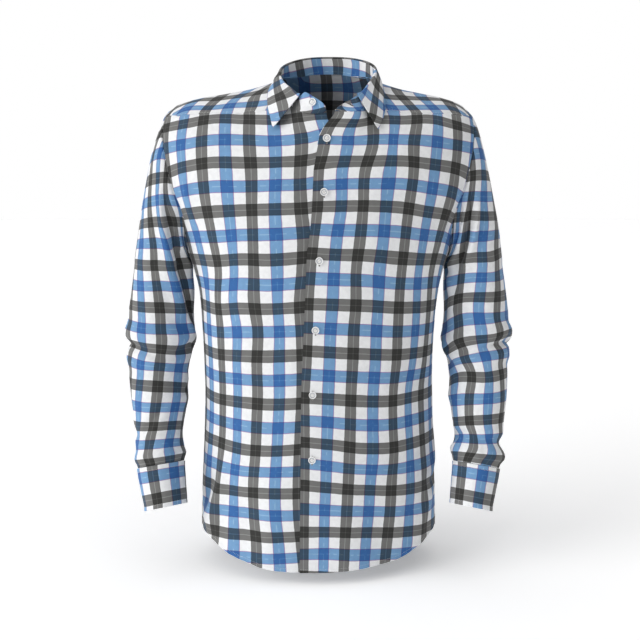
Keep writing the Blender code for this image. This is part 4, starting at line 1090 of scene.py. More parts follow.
def collarStand():
    angles = np.linspace(-edgeAngle, edgeAngle, 150)
    base = np.array([neckSeam(a) for a in angles])
    top = np.array([standTop(a) for a in angles])
    parts = spread(0.034, 0.0030, seamRows, seamRows) / 0.034
    points = base[None] + (top - base)[None] * parts[:, None, None]
    points = pullIn(points, top=-0.0014)      # its lower edge laps the neck of the body
    lap = np.exp(-edgeRuns(points)[0] / 0.004)[..., None] * 0.0007
    return points + outward(points, (0.014, -0.03, -0.02)) * lap


def fallEdge(angle):
    x, z, lift = (float(fall[name](angle)) for name in ("x", "z", "lift"))
    side = 1 if angle > 0 else -1
    flat = abs(x - float(leanAside(z)))
    across = flat / ridgeAcross
    if abs(angle) <= 90:
        way = float(fallBack(abs(angle)))
        point = over(across, abs(way), way > 0)
    else:
        way = float(findWay(across, z, False, False))
        across = across * flat / over(across, way, False)[0]
        point = over(across, way, False)
    point[0] *= side
    turn = math.radians(angle)
    out = np.array((math.sin(turn), math.cos(turn), 0.0))
    sloping = lift * collar["liftPart"]
    return settle(point, side) + out * sloping + np.array((0, 0, sloping))


def collarFall():
    angles = np.linspace(-collar["end"], collar["end"], 161)
    columns = []
    for angle in angles:
        reach = collar["foldReach"] * smoothStep((angle - 122) / 28)
        top, edge = standTop(angle + reach), fallEdge(angle)
        bow = collar["bow"] * (1 - 0.7 * math.exp(-(((abs(angle) - 86) / 24) ** 2)))
        turn = math.radians(angle)
        out, up = np.array((math.sin(turn), math.cos(turn), 0.0)), np.array((0, 0, 1.0))
        outer = top + out * collar["foldOut"] + up * 0.0004
        strip = []
        for part in np.linspace(0, 1, 6)[:-1]:
            swing = math.pi * part
            strip.append(top + up * (0.0005 + collar["foldUp"] * math.sin(swing))
                         + out * collar["foldOut"] * (1 - math.cos(swing)) / 2)
        for part in spread(0.055, 0.0030, (), seamRows) / 0.055:
            strip.append(outer + (edge - outer) * part
                         + out * bow * math.sin(math.pi * part))
        columns.append(strip)
    points = np.array(columns).transpose(1, 0, 2)
    # both front edges bow towards the opening
    across = np.linspace(0, 1, len(points))[:, None]
    for end, inner in ((0, 1), (-1, -2)):
        way = points[:, end] - points[:, inner]
        way /= np.linalg.norm(way, axis=-1, keepdims=True)
        share = smoothStep((angles * (1 if end else -1) - 126) / 24)[None, :, None]
        points = points + (way * np.sin(math.pi * across) * collar["frontBow"])[:, None] * share
    return points


# Millimetres by which the check stands aside of, and along, the plain form. These numbers were
# solved by a separate fitting script and are not charted by hand, apart from parts of the yoke.
charts = {
    "left": {
        "first": -0.020, "step": 0.0467, "top": -0.6200, "rise": 0.0480,
        "aside": (
            (11.5, 18.4, 25.0, 28.5, 29.3, 28.1, 25.7),
            (11.3, 17.5, 22.8, 24.5, 25.7, 26.4, 26.8),
            (11.7, 16.6, 18.8, 20.6, 21.5, 24.0, 29.3),
            (11.8, 14.8, 16.8, 18.4, 20.3, 25.6, 34.0),
            (12.0, 13.8, 15.1, 14.5, 24.0, 33.3, 40.1),
            (13.0, 12.4, 14.5, 16.9, 28.8, 38.6, 44.2),
            (14.3, 11.9, 14.6, 17.4, 29.1, 38.4, 44.4),
            (12.5, 12.2, 13.4, 14.2, 18.7, 29.7, 41.4),
            (12.7, 13.3, 14.2, 15.1, 16.1, 25.0, 37.2),
            (14.5, 12.3, 13.6, 14.7, 17.3, 25.1, 33.2),
            (13.3, 13.1, 16.9, 13.9, 19.8, 27.9, 27.4),
            (11.5, 12.3, 13.6, 12.7, 15.4, 18.6, 18.2),
            (9.8, 8.9, 13.5, 11.4, 11.3, 7.0, 7.7),
            (11.2, 11.0, 13.6, 8.0, 8.2, 2.8, 0.7),
            (7.4, 8.4, 1.7, 9.4, 5.2, 1.3, -1.3),
            (12.8, 17.5, 4.9, 1.2, 0.1, 2.2, -0.6),
            (48.4, 41.3, 24.4, 6.9, -1.3, -2.8, -2.1),
        ),
        "along": (
            (-28.5, -26.1, -22.1, -18.7, -14.8, -10.1, -4.9),
            (-27.0, -27.9, -24.3, -18.4, -13.7, -9.5, -5.6),
            (-27.6, -25.3, -22.5, -16.4, -11.6, -8.5, -7.2),
            (-30.8, -26.0, -20.0, -14.0, -11.0, -9.8, -9.9),
            (-28.6, -23.4, -15.4, -11.6, -13.4, -14.1, -13.2),
            (-25.5, -21.8, -15.9, -13.4, -15.4, -16.3, -15.6),
            (-24.7, -22.2, -18.3, -15.2, -16.2, -16.5, -16.4),
            (-26.0, -22.9, -19.5, -16.0, -14.7, -14.6, -16.3),
            (-26.2, -23.5, -20.7, -16.8, -14.9, -14.9, -16.2),
            (-26.1, -25.0, -22.9, -19.0, -16.6, -16.4, -15.4),
            (-30.0, -28.4, -26.3, -21.0, -19.2, -18.4, -12.3),
            (-31.0, -28.8, -28.5, -26.0, -21.0, -17.1, -6.0),
            (-27.4, -28.6, -28.7, -26.4, -19.9, -13.8, 0.7),
            (-18.4, -22.5, -23.7, -24.2, -19.4, -13.7, -3.1),
            (-18.5, -17.8, -21.1, -21.8, -19.1, -14.4, -10.8),
            (8.3, 3.8, -17.8, -21.3, -24.6, -11.2, 3.0),
            (44.8, 23.6, -1.4, -17.2, -20.5, -11.5, 4.6),
        ),
    },
    "right": {
        "first": -0.020, "step": 0.0467, "top": -0.6200, "rise": 0.0480,
        "aside": (
            (-8.3, -11.3, -15.9, -23.7, -33.9, -44.2, -53.8),
            (-13.1, -15.4, -16.6, -22.6, -32.0, -37.8, -42.2),
            (-16.7, -19.8, -21.8, -24.2, -27.7, -29.4, -30.5),
            (-18.5, -21.0, -22.9, -24.4, -22.3, -20.2, -19.5),
            (-18.9, -19.8, -20.0, -20.1, -15.4, -12.6, -10.6),
            (-18.4, -17.7, -17.5, -17.8, -12.6, -8.0, -4.2),
            (-18.2, -16.1, -15.8, -16.0, -11.4, -5.5, -0.4),
            (-19.4, -17.4, -18.2, -17.8, -14.1, -6.4, 1.4),
            (-21.5, -21.0, -18.0, -18.0, -17.6, -8.6, 1.5),
            (-22.0, -25.9, -23.1, -26.9, -22.4, -8.4, -1.0),
            (-20.9, -24.0, -26.8, -26.0, -16.7, -10.8, -8.1),
            (-22.7, -25.2, -30.8, -28.7, -26.5, -22.1, -17.6),
            (-27.4, -32.2, -34.6, -32.6, -34.0, -33.0, -26.1),
            (-30.3, -36.3, -35.6, -35.5, -37.7, -37.0, -30.0),
            (-29.5, -34.0, -39.5, -41.2, -40.4, -38.9, -30.7),
            (-26.0, -32.1, -45.5, -45.0, -43.5, -35.6, -28.8),
            (-29.7, -44.5, -50.4, -49.7, -44.6, -36.6, -28.1),
        ),
        "along": (
            (-24.6, -21.9, -18.5, -14.2, -9.8, -5.5, -1.3),
            (-21.6, -19.5, -17.0, -14.8, -11.0, -7.7, -4.7),
            (-19.1, -17.2, -16.0, -16.0, -12.8, -10.1, -8.3),
            (-17.5, -16.2, -14.9, -11.9, -12.3, -12.4, -12.0),
            (-17.0, -14.3, -10.4, -9.8, -14.7, -14.7, -15.0),
            (-17.0, -13.7, -11.0, -12.3, -13.7, -15.7, -17.2),
            (-18.0, -15.4, -13.2, -13.7, -12.8, -16.3, -18.3),
            (-20.0, -18.0, -14.8, -14.4, -13.1, -15.9, -18.6),
            (-22.0, -20.6, -18.2, -16.2, -12.4, -15.1, -18.8),
            (-24.2, -20.8, -17.5, -17.3, -13.7, -17.1, -18.9),
            (-26.5, -23.0, -19.6, -20.4, -16.8, -18.4, -18.2),
            (-28.6, -25.3, -22.5, -21.4, -18.5, -17.4, -16.2),
            (-31.4, -25.2, -23.8, -22.3, -20.6, -17.8, -12.8),
            (-35.0, -24.3, -21.8, -20.6, -21.6, -16.1, -5.7),
            (-35.3, -22.1, -18.4, -21.1, -21.3, -15.1, -9.8),
            (-15.3, -16.3, -20.5, -23.5, -25.4, -15.9, -7.1),
            (9.2, -5.5, -20.3, -26.3, -25.5, -18.7, -9.0),
        ),
    },
    "sleeveRight": {
        "first": -0.060, "step": 0.0450, "top": -0.5000, "rise": 0.0360,
        "aside": (
            (-18.5, -4.5, 9.0, 21.3, 30.7, 41.1),
            (-25.9, -12.9, 0.3, 11.9, 20.3, 24.2),
            (-32.6, -21.2, -8.6, 8.0, 17.1, 5.4),
            (-37.8, -27.3, -16.0, 0.1, 11.7, -11.9),
            (-41.5, -30.4, -19.8, -8.7, 5.8, -3.7),
            (-44.1, -32.2, -19.5, -13.3, 8.2, 10.0),
            (-45.1, -35.4, -25.9, -19.7, -7.7, -1.3),
            (-44.3, -38.7, -32.9, -25.0, -19.8, -17.2),
            (-41.4, -38.9, -35.7, -27.7, -24.2, -28.3),
            (-35.5, -34.0, -31.7, -23.1, -21.3, -27.1),
            (-26.7, -24.2, -21.4, -16.0, -14.8, -17.9),
            (-15.8, -12.1, -7.5, -7.6, -7.0, -6.2),
            (-3.7, -0.6, 0.3, 4.0, 6.2, 7.1),
            (7.8, 11.1, 14.5, 16.1, 19.0, 20.8),
            (19.4, 18.8, 17.9, 21.3, 28.5, 34.8),
        ),
        "along": (
            (-41.4, -40.7, -39.9, -39.4, -42.8, -47.2),
            (-34.8, -37.7, -40.8, -44.3, -46.3, -48.1),
            (-28.1, -33.9, -39.8, -44.0, -45.4, -48.1),
            (-21.3, -28.3, -35.3, -41.8, -45.3, -45.5),
            (-14.2, -22.0, -29.6, -39.4, -44.0, -37.9),
            (-7.0, -16.4, -25.8, -39.5, -42.7, -33.4),
            (0.2, -12.0, -24.5, -36.1, -38.9, -31.2),
            (6.5, -7.0, -20.8, -35.0, -39.4, -33.9),
            (11.2, -1.5, -16.2, -32.8, -37.4, -33.9),
            (13.6, 3.1, -6.9, -27.0, -36.1, -29.7),
            (14.6, 3.7, -8.1, -19.0, -26.5, -26.7),
            (14.0, 3.3, -8.0, -19.3, -23.6, -22.7),
            (12.1, 3.6, -5.4, -14.1, -17.2, -16.9),
            (9.4, 5.0, 1.4, -4.3, -6.7, -6.7),
            (6.9, 6.7, 6.4, 5.6, 9.2, 7.4),
        ),
    },
    "sleeveLeft": {
        "first": -0.060, "step": 0.0450, "top": -0.5000, "rise": 0.0360,
        "aside": (
            (74.2, 64.2, 54.3, 45.1, 35.9, 25.8),
            (61.7, 54.9, 47.0, 37.6, 28.7, 15.3),
            (48.4, 45.0, 40.5, 30.3, 18.6, 5.7),
            (34.5, 33.3, 32.6, 30.1, 14.3, 2.0),
            (21.0, 21.1, 19.7, 24.8, 20.5, 9.6),
            (8.8, 12.0, 16.8, 24.2, 26.2, 16.8),
            (-0.1, 5.3, 12.4, 20.0, 20.6, 17.1),
            (-4.6, 0.7, 5.9, 14.7, 15.9, 14.7),
            (-5.6, 0.6, 6.6, 18.7, 17.4, 16.0),
            (-3.2, 5.9, 15.6, 27.9, 27.5, 23.1),
            (2.4, 14.3, 26.6, 39.9, 46.9, 33.9),
            (11.0, 23.5, 36.6, 42.3, 49.1, 47.4),
            (22.7, 31.2, 39.3, 49.2, 57.5, 62.4),
            (37.0, 43.1, 52.6, 62.4, 72.7, 76.1),
            (54.3, 56.8, 55.0, 54.2, 70.6, 88.2),
        ),
        "along": (
            (-17.9, -25.0, -32.0, -39.1, -47.1, -55.1),
            (-9.4, -19.1, -28.5, -37.2, -44.0, -49.1),
            (-1.1, -12.4, -24.3, -36.2, -40.1, -42.7),
            (6.5, -4.9, -17.4, -30.3, -34.3, -36.9),
            (13.1, 2.2, -8.6, -27.1, -32.3, -33.9),
            (18.9, 6.4, -6.8, -24.8, -30.2, -32.8),
            (23.7, 8.7, -6.3, -19.4, -26.0, -32.1),
            (27.7, 12.1, -4.6, -17.1, -20.8, -30.5),
            (30.4, 17.1, 4.3, -15.4, -24.5, -35.2),
            (31.9, 20.0, 7.6, -5.9, -22.2, -39.6),
            (31.7, 20.7, 9.6, -4.7, -8.0, -19.5),
            (29.5, 19.4, 7.9, -3.3, -8.6, -11.0),
            (24.5, 17.8, 9.7, -2.0, -9.6, -8.6),
            (17.2, 14.4, 12.5, 4.7, 1.2, -3.2),
            (9.1, 8.8, 10.1, 11.6, 9.0, 4.3),
        ),
    },
    "yoke": {
        "first": -0.260, "step": 0.0400, "top": 0.1000, "rise": 0.0300,
        "aside": (
            (3.0, 2.0, 2.0, 1.0, 1.0, 0.0, -0.5, -0.5, -0.5, -2.0, -3.0, -1.1, -3.0, -5.6),
            (9.0, 7.0, 5.0, 4.0, 3.0, 1.0, 0.0, -1.0, -0.4, -1.0, -1.0, 0.3, -2.4, -5.1),
            (23.0, 18.0, 13.0, 10.0, 7.0, 4.0, 0.9, -1.3, -0.6, 5.8, 9.7, 9.7, 3.3, -4.1),
            (41.0, 30.0, 21.0, 16.0, 10.0, 6.0, 2.5, 2.1, 5.0, 14.8, 19.0, 15.6, 5.5, -7.7),
            (54.2, 40.8, 29.4, 23.2, 15.6, 11.9, 7.0, 7.7, 13.5, 24.5, 23.8, 14.5, -0.5, -12.8),
            (57.5, 47.4, 41.4, 40.5, 39.5, 26.6, 19.2, 17.4, 20.3, 24.1, 13.0, -0.7, -14.8, -24.7),
            (60.8, 54.7, 48.8, 45.1, 43.4, 38.7, 31.5, 25.0, 18.6, 8.9, -2.3, -15.0, -26.7, -37.6),
            (64.3, 61.0, 57.4, 54.0, 51.5, 48.4, 41.7, 30.4, 15.0, -1.3, -14.8, -27.6, -39.2,
             -50.6),
        ),
        "along": (
            (12.0, 12.0, 12.0, 12.1, 12.0, 11.7, 11.7, 12.0, 11.7, 12.0, 12.0, 12.0, 11.9, 12.0),
            (17.0, 12.7, 12.3, 12.5, 12.0, 12.6, 11.5, 11.3, 12.2, 12.0, 12.2, 12.0, 12.2, 17.1),
            (33.1, 18.0, 9.6, 4.5, 5.0, 11.1, 13.7, 13.5, 12.0, 6.1, 4.4, 7.0, 16.3, 33.3),
            (59.4, 31.6, 4.5, -9.9, -15.6, -9.0, 10.8, 10.7, -1.8, -11.4, -12.8, -1.1, 28.8, 57.0),
            (88.3, 52.2, 3.9, -17.3, -30.2, -34.9, -28.7, -24.7, -31.5, -34.9, -25.6, 6.0, 49.7,
             80.5),
            (111.8, 68.7, 19.1, -9.7, -32.8, -48.4, -54.7, -57.4, -59.8, -52.2, -17.4, 19.6, 60.8,
             99.4),
            (129.8, 85.3, 42.3, 4.1, -31.0, -58.3, -73.1, -78.2, -71.4, -44.4, -2.3, 34.0, 73.9,
             114.3),
            (145.9, 104.3, 64.0, 23.9, -15.8, -58.4, -85.9, -90.4, -69.3, -28.6, 13.0, 51.0, 88.8,
             127.7),
        ),
    },
    "stand": {
        "first": -0.275, "step": 0.0423, "top": -0.0400, "rise": 0.0200,
        "aside": (
            (-1.9, -16.2, -29.5, -33.0, -28.4, -20.0, -11.8, -6.6, -3.0, -0.7, -6.4, -18.4, -32.8,
             -46.2),
            (-1.2, -13.1, -23.6, -26.1, -27.1, -22.5, -16.0, -15.1, -8.2, 1.8, -12.6, -27.4,
             -30.7, -33.4),
            (-2.8, -5.8, -5.3, -16.2, -25.3, -26.8, -20.5, -16.2, -11.0, -9.0, -21.2, -33.3,
             -26.6, -20.7),
        ),
        "along": (
            (10.6, 2.7, -6.1, -14.5, -21.6, -28.0, -33.6, -35.8, -36.2, -40.4, -50.4, -67.6,
             -91.4, -116.9),
            (5.4, -2.0, -16.2, -24.6, -30.2, -31.2, -32.4, -32.8, -32.9, -40.9, -48.2, -53.3,
             -61.1, -67.2),
            (1.2, -5.3, -22.9, -33.8, -38.9, -37.4, -32.3, -30.9, -34.2, -42.1, -47.7, -45.9,
             -25.0, -12.5),
        ),
    },
    "fall": {
        "first": -0.255, "step": 0.0340, "top": -0.0750, "rise": 0.0250,
        "aside": (
            (-30.9, -37.3, -35.8, -29.5, -24.5, -22.1, -22.5, -24.8, -28.1, -31.8, -34.9, -35.0,
             -29.6, -18.1, -7.8, -4.9),
            (-8.2, -20.2, -26.3, -22.3, -19.9, -20.2, -21.4, -22.7, -24.2, -25.9, -28.2, -32.0,
             -34.9, -33.1, -25.0, -26.0),
            (8.8, -12.4, -19.4, -20.2, -15.9, -19.6, -20.1, -20.5, -20.8, -20.9, -21.3, -26.5,
             -34.0, -33.0, -27.0, -45.4),
            (16.3, -9.0, -26.1, -28.1, -21.7, -19.1, -18.1, -17.7, -17.5, -17.5, -18.1, -18.3,
             -11.1, -16.0, -13.4, -40.2),
        ),
        "along": (
            (44.2, 27.3, 11.7, -0.9, -9.8, -15.7, -19.5, -22.2, -24.1, -25.2, -25.0, -21.9, -14.7,
             -2.6, 14.1, 33.5),
            (52.3, 31.6, 15.8, 3.4, -4.7, -9.4, -11.4, -12.2, -13.1, -14.1, -14.3, -12.3, -6.1,
             7.0, 23.9, 55.5),
            (57.9, 35.9, 20.2, 9.3, 1.4, -3.1, -3.4, -2.2, -2.1, -3.3, -3.2, -1.1, 3.7, 18.5,
             38.3, 73.6),
            (54.9, 38.7, 30.4, 19.0, 9.5, 4.7, 4.4, 6.1, 7.0, 7.0, 8.0, 12.4, 21.9, 34.8, 51.5,
             78.1),
        ),
    },
}


def makeTorso():
    plain = (fineRelief, hemRelief, None, armRelief)
    for side, name in ((1, "Left"), (-1, "Right")):
        points, flat = frontPanel(side)
        inside = (side * 0.10, 0.05, -0.4)
        shape = relieved(points, flat, inside, "front" + name, edges=plain)
        made = clothPiece("front" + name, shape, charted(flat, charts[name.lower()]),
                          checkCloth, inside)
        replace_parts(made, "front_" + name.lower())
    points, flat = backPanel()
    inside = (0, -0.05, -0.4)
    shape = relieved(points, flat, inside, "backBody", edges=(fineRelief, hemRelief,
                                                             armRelief, armRelief))
    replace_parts(clothPiece("backBody", shape, flat, checkCloth, inside), "back")
    points, flat = yokePanel()
    inside = (0, 0, -0.5)
    shape = relieved(points, flat, inside, "yokeBody", edges=(fineRelief, fineRelief,
                                                             sewnRelief, sewnRelief))
    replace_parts(clothPiece("yokeBody", shape, charted(flat, charts["yoke"]), checkCloth, inside),
                "yoke")


def makeSleeves():
    points, flat = sleevePanel()
    band, bandFlat = cuffPanel()
    strip, stripFlat = stripPanel()
    for side, name in ((1, "Left"), (-1, "Right")):
        flip = (side, 1, 1)
        inside = (0.26 * side, 0, -0.35)
        shape = relieved(points * flip, flat, inside, "sleeve" + name, closed=True,
                         edges=(armRelief, sewnRelief, sewnRelief, sewnRelief))
        made = clothPiece("sleeve" + name, shape, charted(flat, charts["sleeve" + name]),
                          checkCloth, inside, closed=True)
        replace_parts(made, "sleeve_" + name.lower())
        inside = (0.26 * side, -0.045, -0.67)
        shape = relieved(band * flip, bandFlat, inside, "cuff" + name, edges=(edgeRelief,) * 4)
        made = clothPiece("cuff" + name, shape, bandFlat + np.array(arm["cuffCheck" + name]),
                          checkCloth, inside)
        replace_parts(made, "cuff_" + name.lower())
        made = clothPiece("sleeveStrip" + name, strip * flip, stripFlat, checkCloth,
                          (0.26 * side, -0.02, -0.57), inward=False)
        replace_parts(made, "placket_" + name.lower())


def fromMiddle(points):
    # flat lengths of a collar piece from its centre line and its top edge
    flat = np.stack((runLengths(points, 1), -runLengths(points, 0)), -1)
    middle = flat.shape[1] // 2
    flat[..., 0] -= flat[:, middle:middle + 1, 0]
    return flat


def makeCollar():
    points = collarStand()
    flat, inside = fromMiddle(points), (0.014, -0.03, -0.02)
    shape = relieved(points, flat, inside, "collarStand",
                     edges=(fineRelief, None, edgeRelief, edgeRelief))
    made = clothPiece("collarStand", shape, charted(flat, charts["stand"]), checkCloth, inside,
                      wall=collar["standWall"])
    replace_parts(made, "collar_stand")
    points = collarFall()
    flat, inside = fromMiddle(points), (0.014, -0.03, -0.08)
    shape = relieved(points, flat, inside, "collarFall",
                     edges=(None, edgeRelief, edgeRelief, edgeRelief))
    made = clothPiece("collarFall", shape, charted(flat, charts["fall"]), checkCloth, inside,
                      inward=False)
    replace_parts(made, "collar_fall")


makeTorso()
print("torso made")
makeSleeves()
print("sleeves made")
makeCollar()
print("collar made")


def makeButtonFinish(name, low, high, roughness):
    # moulded pearl polyester: white, glossy, with faint cloudy swirls; given darker colours it
    # paints the shade in a button's sunken dish
    finish, tree, shader = newFinish(name)
    place = addNode(tree, "ShaderNodeTexCoord").outputs["Object"]
    cloud = addNode(tree, "ShaderNodeTexNoise", {"Vector": place, "Scale": 260.0})
    ramp = addNode(tree, "ShaderNodeValToRGB", {"Fac": cloud.outputs["Fac"]})
    ramp.color_ramp.elements[0].color = linearColour(low)
    ramp.color_ramp.elements[1].color = linearColour(high)
    tree.links.new(ramp.outputs["Color"], shader.inputs["Base Color"])
    shader.inputs["Roughness"].default_value = roughness
    shader.inputs["Coat Weight"].default_value = 0.3
    return finish


def makeThreadFinish(name, light, dark, roughness):
    # spun cotton thread: matt, its twist showing as fine slanting lines; given dark colours it
    # paints the shade inside a buttonhole slit
    finish, tree, shader = newFinish(name)
    place = addNode(tree, "ShaderNodeTexCoord").outputs["Object"]
    twist = addNode(tree, "ShaderNodeTexWave", {"Vector": place, "Scale": 260.0},
                    bands_direction="DIAGONAL")
    ramp = addNode(tree, "ShaderNodeValToRGB", {"Fac": twist.outputs["Fac"]})
    ramp.color_ramp.elements[0].color = linearColour(dark)
    ramp.color_ramp.elements[1].color = linearColour(light)
    tree.links.new(ramp.outputs["Color"], shader.inputs["Base Color"])
    shader.inputs["Roughness"].default_value = roughness
    return finish


buttonFinish = makeButtonFinish("pearlPolyester", "#e9e9e7", "#ffffff", 0.22)
# the sunken dish of each button: pearl darkened to grey as painted shade in the recess
dishShadeFinish = makeButtonFinish("pearlDishPaintedShade", "#b4b7ba", "#cdcfd1", 0.55)
threadFinish = makeThreadFinish("whiteSewingThread", "#f4f3ef", "#cfcdc6", 0.7)
holeFinish = makeThreadFinish("greyButtonholeThread", "#a9a8a5", "#7d7c7a", 0.75)
# a dark disc inside each buttonhole, painted shade where the cloth in the slit lies in shadow
slitShadeFinish = makeThreadFinish("paintedSlitShade", "#3c3d40", "#2b2c2f", 0.9)


# Floor, light and air
studio = {
    "floorZ": -0.793,
    "floor": "#fdfdfd",
    "air": (0.34, 0.03),         # from the left and from the right
    "glow": 0.30,
    "lights": (
        ("name", "x", "y", "z", "spread", "power"),
        ("key", -2.9, -1.5, 0.70, 46.0, 1.86),
        ("top", 0.0, -0.6, 2.4, 80.0, 1.2),
    ),
    "aim": (0, 0, -0.38),
}


# Buttons: four-hole pearl polyester with a raised rim
button = {
    "radius": 0.00575, "thick": 0.0026, "rim": 0.0012, "dish": 0.0010, "sides": 48,
    "holeRadius": 0.00062, "holeFrom": 0.00125, "seat": 0.0006,
    "names": ["button_collar"] + ["button_front_%d" % n for n in range(1, 7)]
    + ["button_cuff_left", "button_cuff_right"],
}


def onlySelect(made):
    bpy.ops.object.select_all(action="DESELECT")
    made.select_set(True)
    bpy.context.view_layer.objects.active = made


def applyAll(made):
    onlySelect(made)
    for modifier in list(made.modifiers):
        bpy.ops.object.modifier_apply(modifier=modifier.name)


def makeButtonForm():
    # modelled lying flat at the origin, its face upwards
    bpy.ops.object.select_all(action="DESELECT")
    bpy.ops.mesh.primitive_cylinder_add(vertices=button["sides"], radius=button["radius"],
                                        depth=button["thick"], location=(0, 0, 0))
    form = bpy.context.object
    bpy.ops.object.mode_set(mode="EDIT")
    bpy.ops.mesh.select_all(action="DESELECT")
    mesh = bmesh.from_edit_mesh(form.data)
    for face in mesh.faces:
        if face.normal.z > 0.9:
            face.select = True
    bmesh.update_edit_mesh(form.data)
    bpy.ops.mesh.inset(thickness=button["rim"])
    bpy.ops.mesh.inset(thickness=0.0003)
    bpy.ops.transform.translate(value=(0, 0, -button["dish"]))
    bpy.ops.mesh.inset(thickness=0.0016)
    bpy.ops.transform.translate(value=(0, 0, button["dish"] * 0.3))
    bpy.ops.object.mode_set(mode="OBJECT")
    soft = form.modifiers.new("soft", "BEVEL")
    soft.width, soft.segments, soft.limit_method = 0.00035, 3, "ANGLE"
    soft.angle_limit = math.radians(20)
    applyAll(form)
    for n in range(4):
        turn = math.radians(45 + 90 * n)
        bpy.ops.object.select_all(action="DESELECT")
        bpy.ops.mesh.primitive_cylinder_add(
            vertices=12, radius=button["holeRadius"], depth=0.008,
            location=(button["holeFrom"] * math.cos(turn), button["holeFrom"] * math.sin(turn), 0))
        drill = bpy.context.object
        cut = form.modifiers.new("hole", "BOOLEAN")
        cut.operation, cut.object, cut.solver = "DIFFERENCE", drill, "EXACT"
        applyAll(form)
        bpy.data.objects.remove(drill)
    # faces of the sunken dish take the darker second finish, painted shade in the recess
    ledge = button["thick"] / 2 - button["dish"] * 0.25
    for face in form.data.polygons:
        out = math.hypot(face.center.x, face.center.y)
        if 0 < face.center.z < ledge and out < button["radius"] - button["rim"] and out > 0.0022:
            face.material_index = 1
    onlySelect(form)
    bpy.ops.object.shade_smooth_by_angle(angle=math.radians(35))
    return form


def makeThreadForm():
    # two crossed bars of thread between the holes
    bars = []
    for turn in (45, -45):
        bpy.ops.object.select_all(action="DESELECT")
        bpy.ops.mesh.primitive_cylinder_add(
            vertices=10, radius=0.00034, depth=2 * button["holeFrom"] + 0.0006,
            location=(0, 0, button["thick"] / 2 - button["dish"] * 0.75),
            rotation=(math.radians(90), 0, math.radians(turn)))
        bar = bpy.context.object
        bpy.ops.object.mode_set(mode="EDIT")
        bpy.ops.mesh.select_all(action="SELECT")
        bpy.ops.mesh.subdivide(number_cuts=1)
        bpy.ops.object.mode_set(mode="OBJECT")
        bars.append(bar)
    bpy.ops.object.select_all(action="DESELECT")
    for bar in bars:
        bar.select_set(True)
    bpy.context.view_layer.objects.active = bars[0]
    bpy.ops.object.join()
    bpy.ops.object.transform_apply(location=True, rotation=True, scale=True)
    bpy.ops.object.shade_smooth_by_angle(angle=math.radians(60))
    return bars[0]


def nodePlace(name):
    # the middle of a CAD button and the way its face looks
    corners = np.empty(len(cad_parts[name].data.vertices) * 3)
    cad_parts[name].data.vertices.foreach_get("co", corners)
    corners = corners.reshape(-1, 3)
    middle = (corners.min(0) + corners.max(0)) / 2
    spreadOut = corners - corners.mean(0)
    axis = np.linalg.svd(spreadOut, full_matrices=False)[2][2]
    return middle, axis


def clothAt(middle, axis, sheets):
    # the outermost cloth under a button, found along its axis
    best = None
    for sheet in sheets:
        hit, place, normal, _ = sheet.ray_cast(Vector(middle + axis * 0.02), Vector(-axis))
        if hit and (best is None or (Vector(middle) + Vector(axis) * 0.02 - place).length < best[0]):
            best = ((Vector(middle) + Vector(axis) * 0.02 - place).length, place, normal)
    return best[1], best[2]


def placeCopy(form, name, place, facing, turn, finishes):
    made = form.copy()
    made.data = form.data.copy()
    made.name = made.data.name = name
    scene.collection.objects.link(made)
    stand = Vector(facing).to_track_quat("Z", "Y").to_matrix().to_4x4()
    made.data.transform(Matrix.Translation(place) @ stand @ Matrix.Rotation(turn, 4, "Z"))
    for finish in finishes:
        made.data.materials.append(finish)
    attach(made, "root")
    return made


def makeButtons():
    disc, threads = makeButtonForm(), makeThreadForm()
    for n, name in enumerate(button["names"]):
        middle, axis = nodePlace(name)
        heart = np.array((0.26 * np.sign(middle[0]), -0.045, middle[2])) if "cuff" in name \
            else np.array((0, 0.0, middle[2]))
        if (axis * (middle - heart)).sum() < 0:
            axis = -axis
        if "cuff" in name:
            sheets = [clothPieces["cuff" + ("Left" if middle[0] > 0 else "Right")]]
        else:
            sheets = [clothPieces[k] for k in ("frontLeft", "frontRight", "collarStand")]
        place, normal = clothAt(middle, axis, sheets)
        facing = (Vector(axis) + normal.normalized()).normalized()
        turn = 0.35 * math.sin(5.1 * n + 1)
        raised = place + facing * (button["thick"] / 2 + button["seat"])
        # the second finish paints shade into the sunken dish
        made = placeCopy(disc, "button" + str(n + 1), raised, facing, turn,
                         (buttonFinish, dishShadeFinish))
        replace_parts(made, name)
        placeCopy(threads, "buttonThread" + str(n + 1), raised, facing, turn,
                  (threadFinish,))
    for form in (disc, threads):
        bpy.data.objects.remove(form)


# Buttonholes: a slit with a worked edge under each button, upright down the front
hole = {"half": 0.0062, "ring": 0.00095, "bar": 0.00042, "lower": 0.0011, "raised": 0.0001,
        "slitShare": 0.8, "slitDepth": 0.0003}


def makeHoleForms():
    # a worked ring drawn out along the slit, and a dark disc inside it, the painted shade of the
    # slit
    forms = []
    for kind in ("ring", "slit"):
        bpy.ops.object.select_all(action="DESELECT")
        if kind == "ring":
            bpy.ops.mesh.primitive_torus_add(major_segments=18, minor_segments=6,
                                             major_radius=hole["ring"], minor_radius=hole["bar"])
        else:
            bpy.ops.mesh.primitive_cylinder_add(vertices=16, radius=hole["ring"] * hole["slitShare"],
                                                depth=hole["slitDepth"])
        form = bpy.context.object
        for half in (1, -1):
            bpy.ops.object.mode_set(mode="EDIT")
            mesh = bmesh.from_edit_mesh(form.data)
            for corner in mesh.verts:
                corner.select = corner.co.y * half > 1e-6
            mesh.select_flush_mode()
            bmesh.update_edit_mesh(form.data)
            bpy.ops.transform.translate(value=(0, half * hole["half"], 0))
            bpy.ops.object.mode_set(mode="OBJECT")
        onlySelect(form)
        bpy.ops.object.shade_smooth_by_angle(angle=math.radians(50))
        forms.append(form)
    return forms


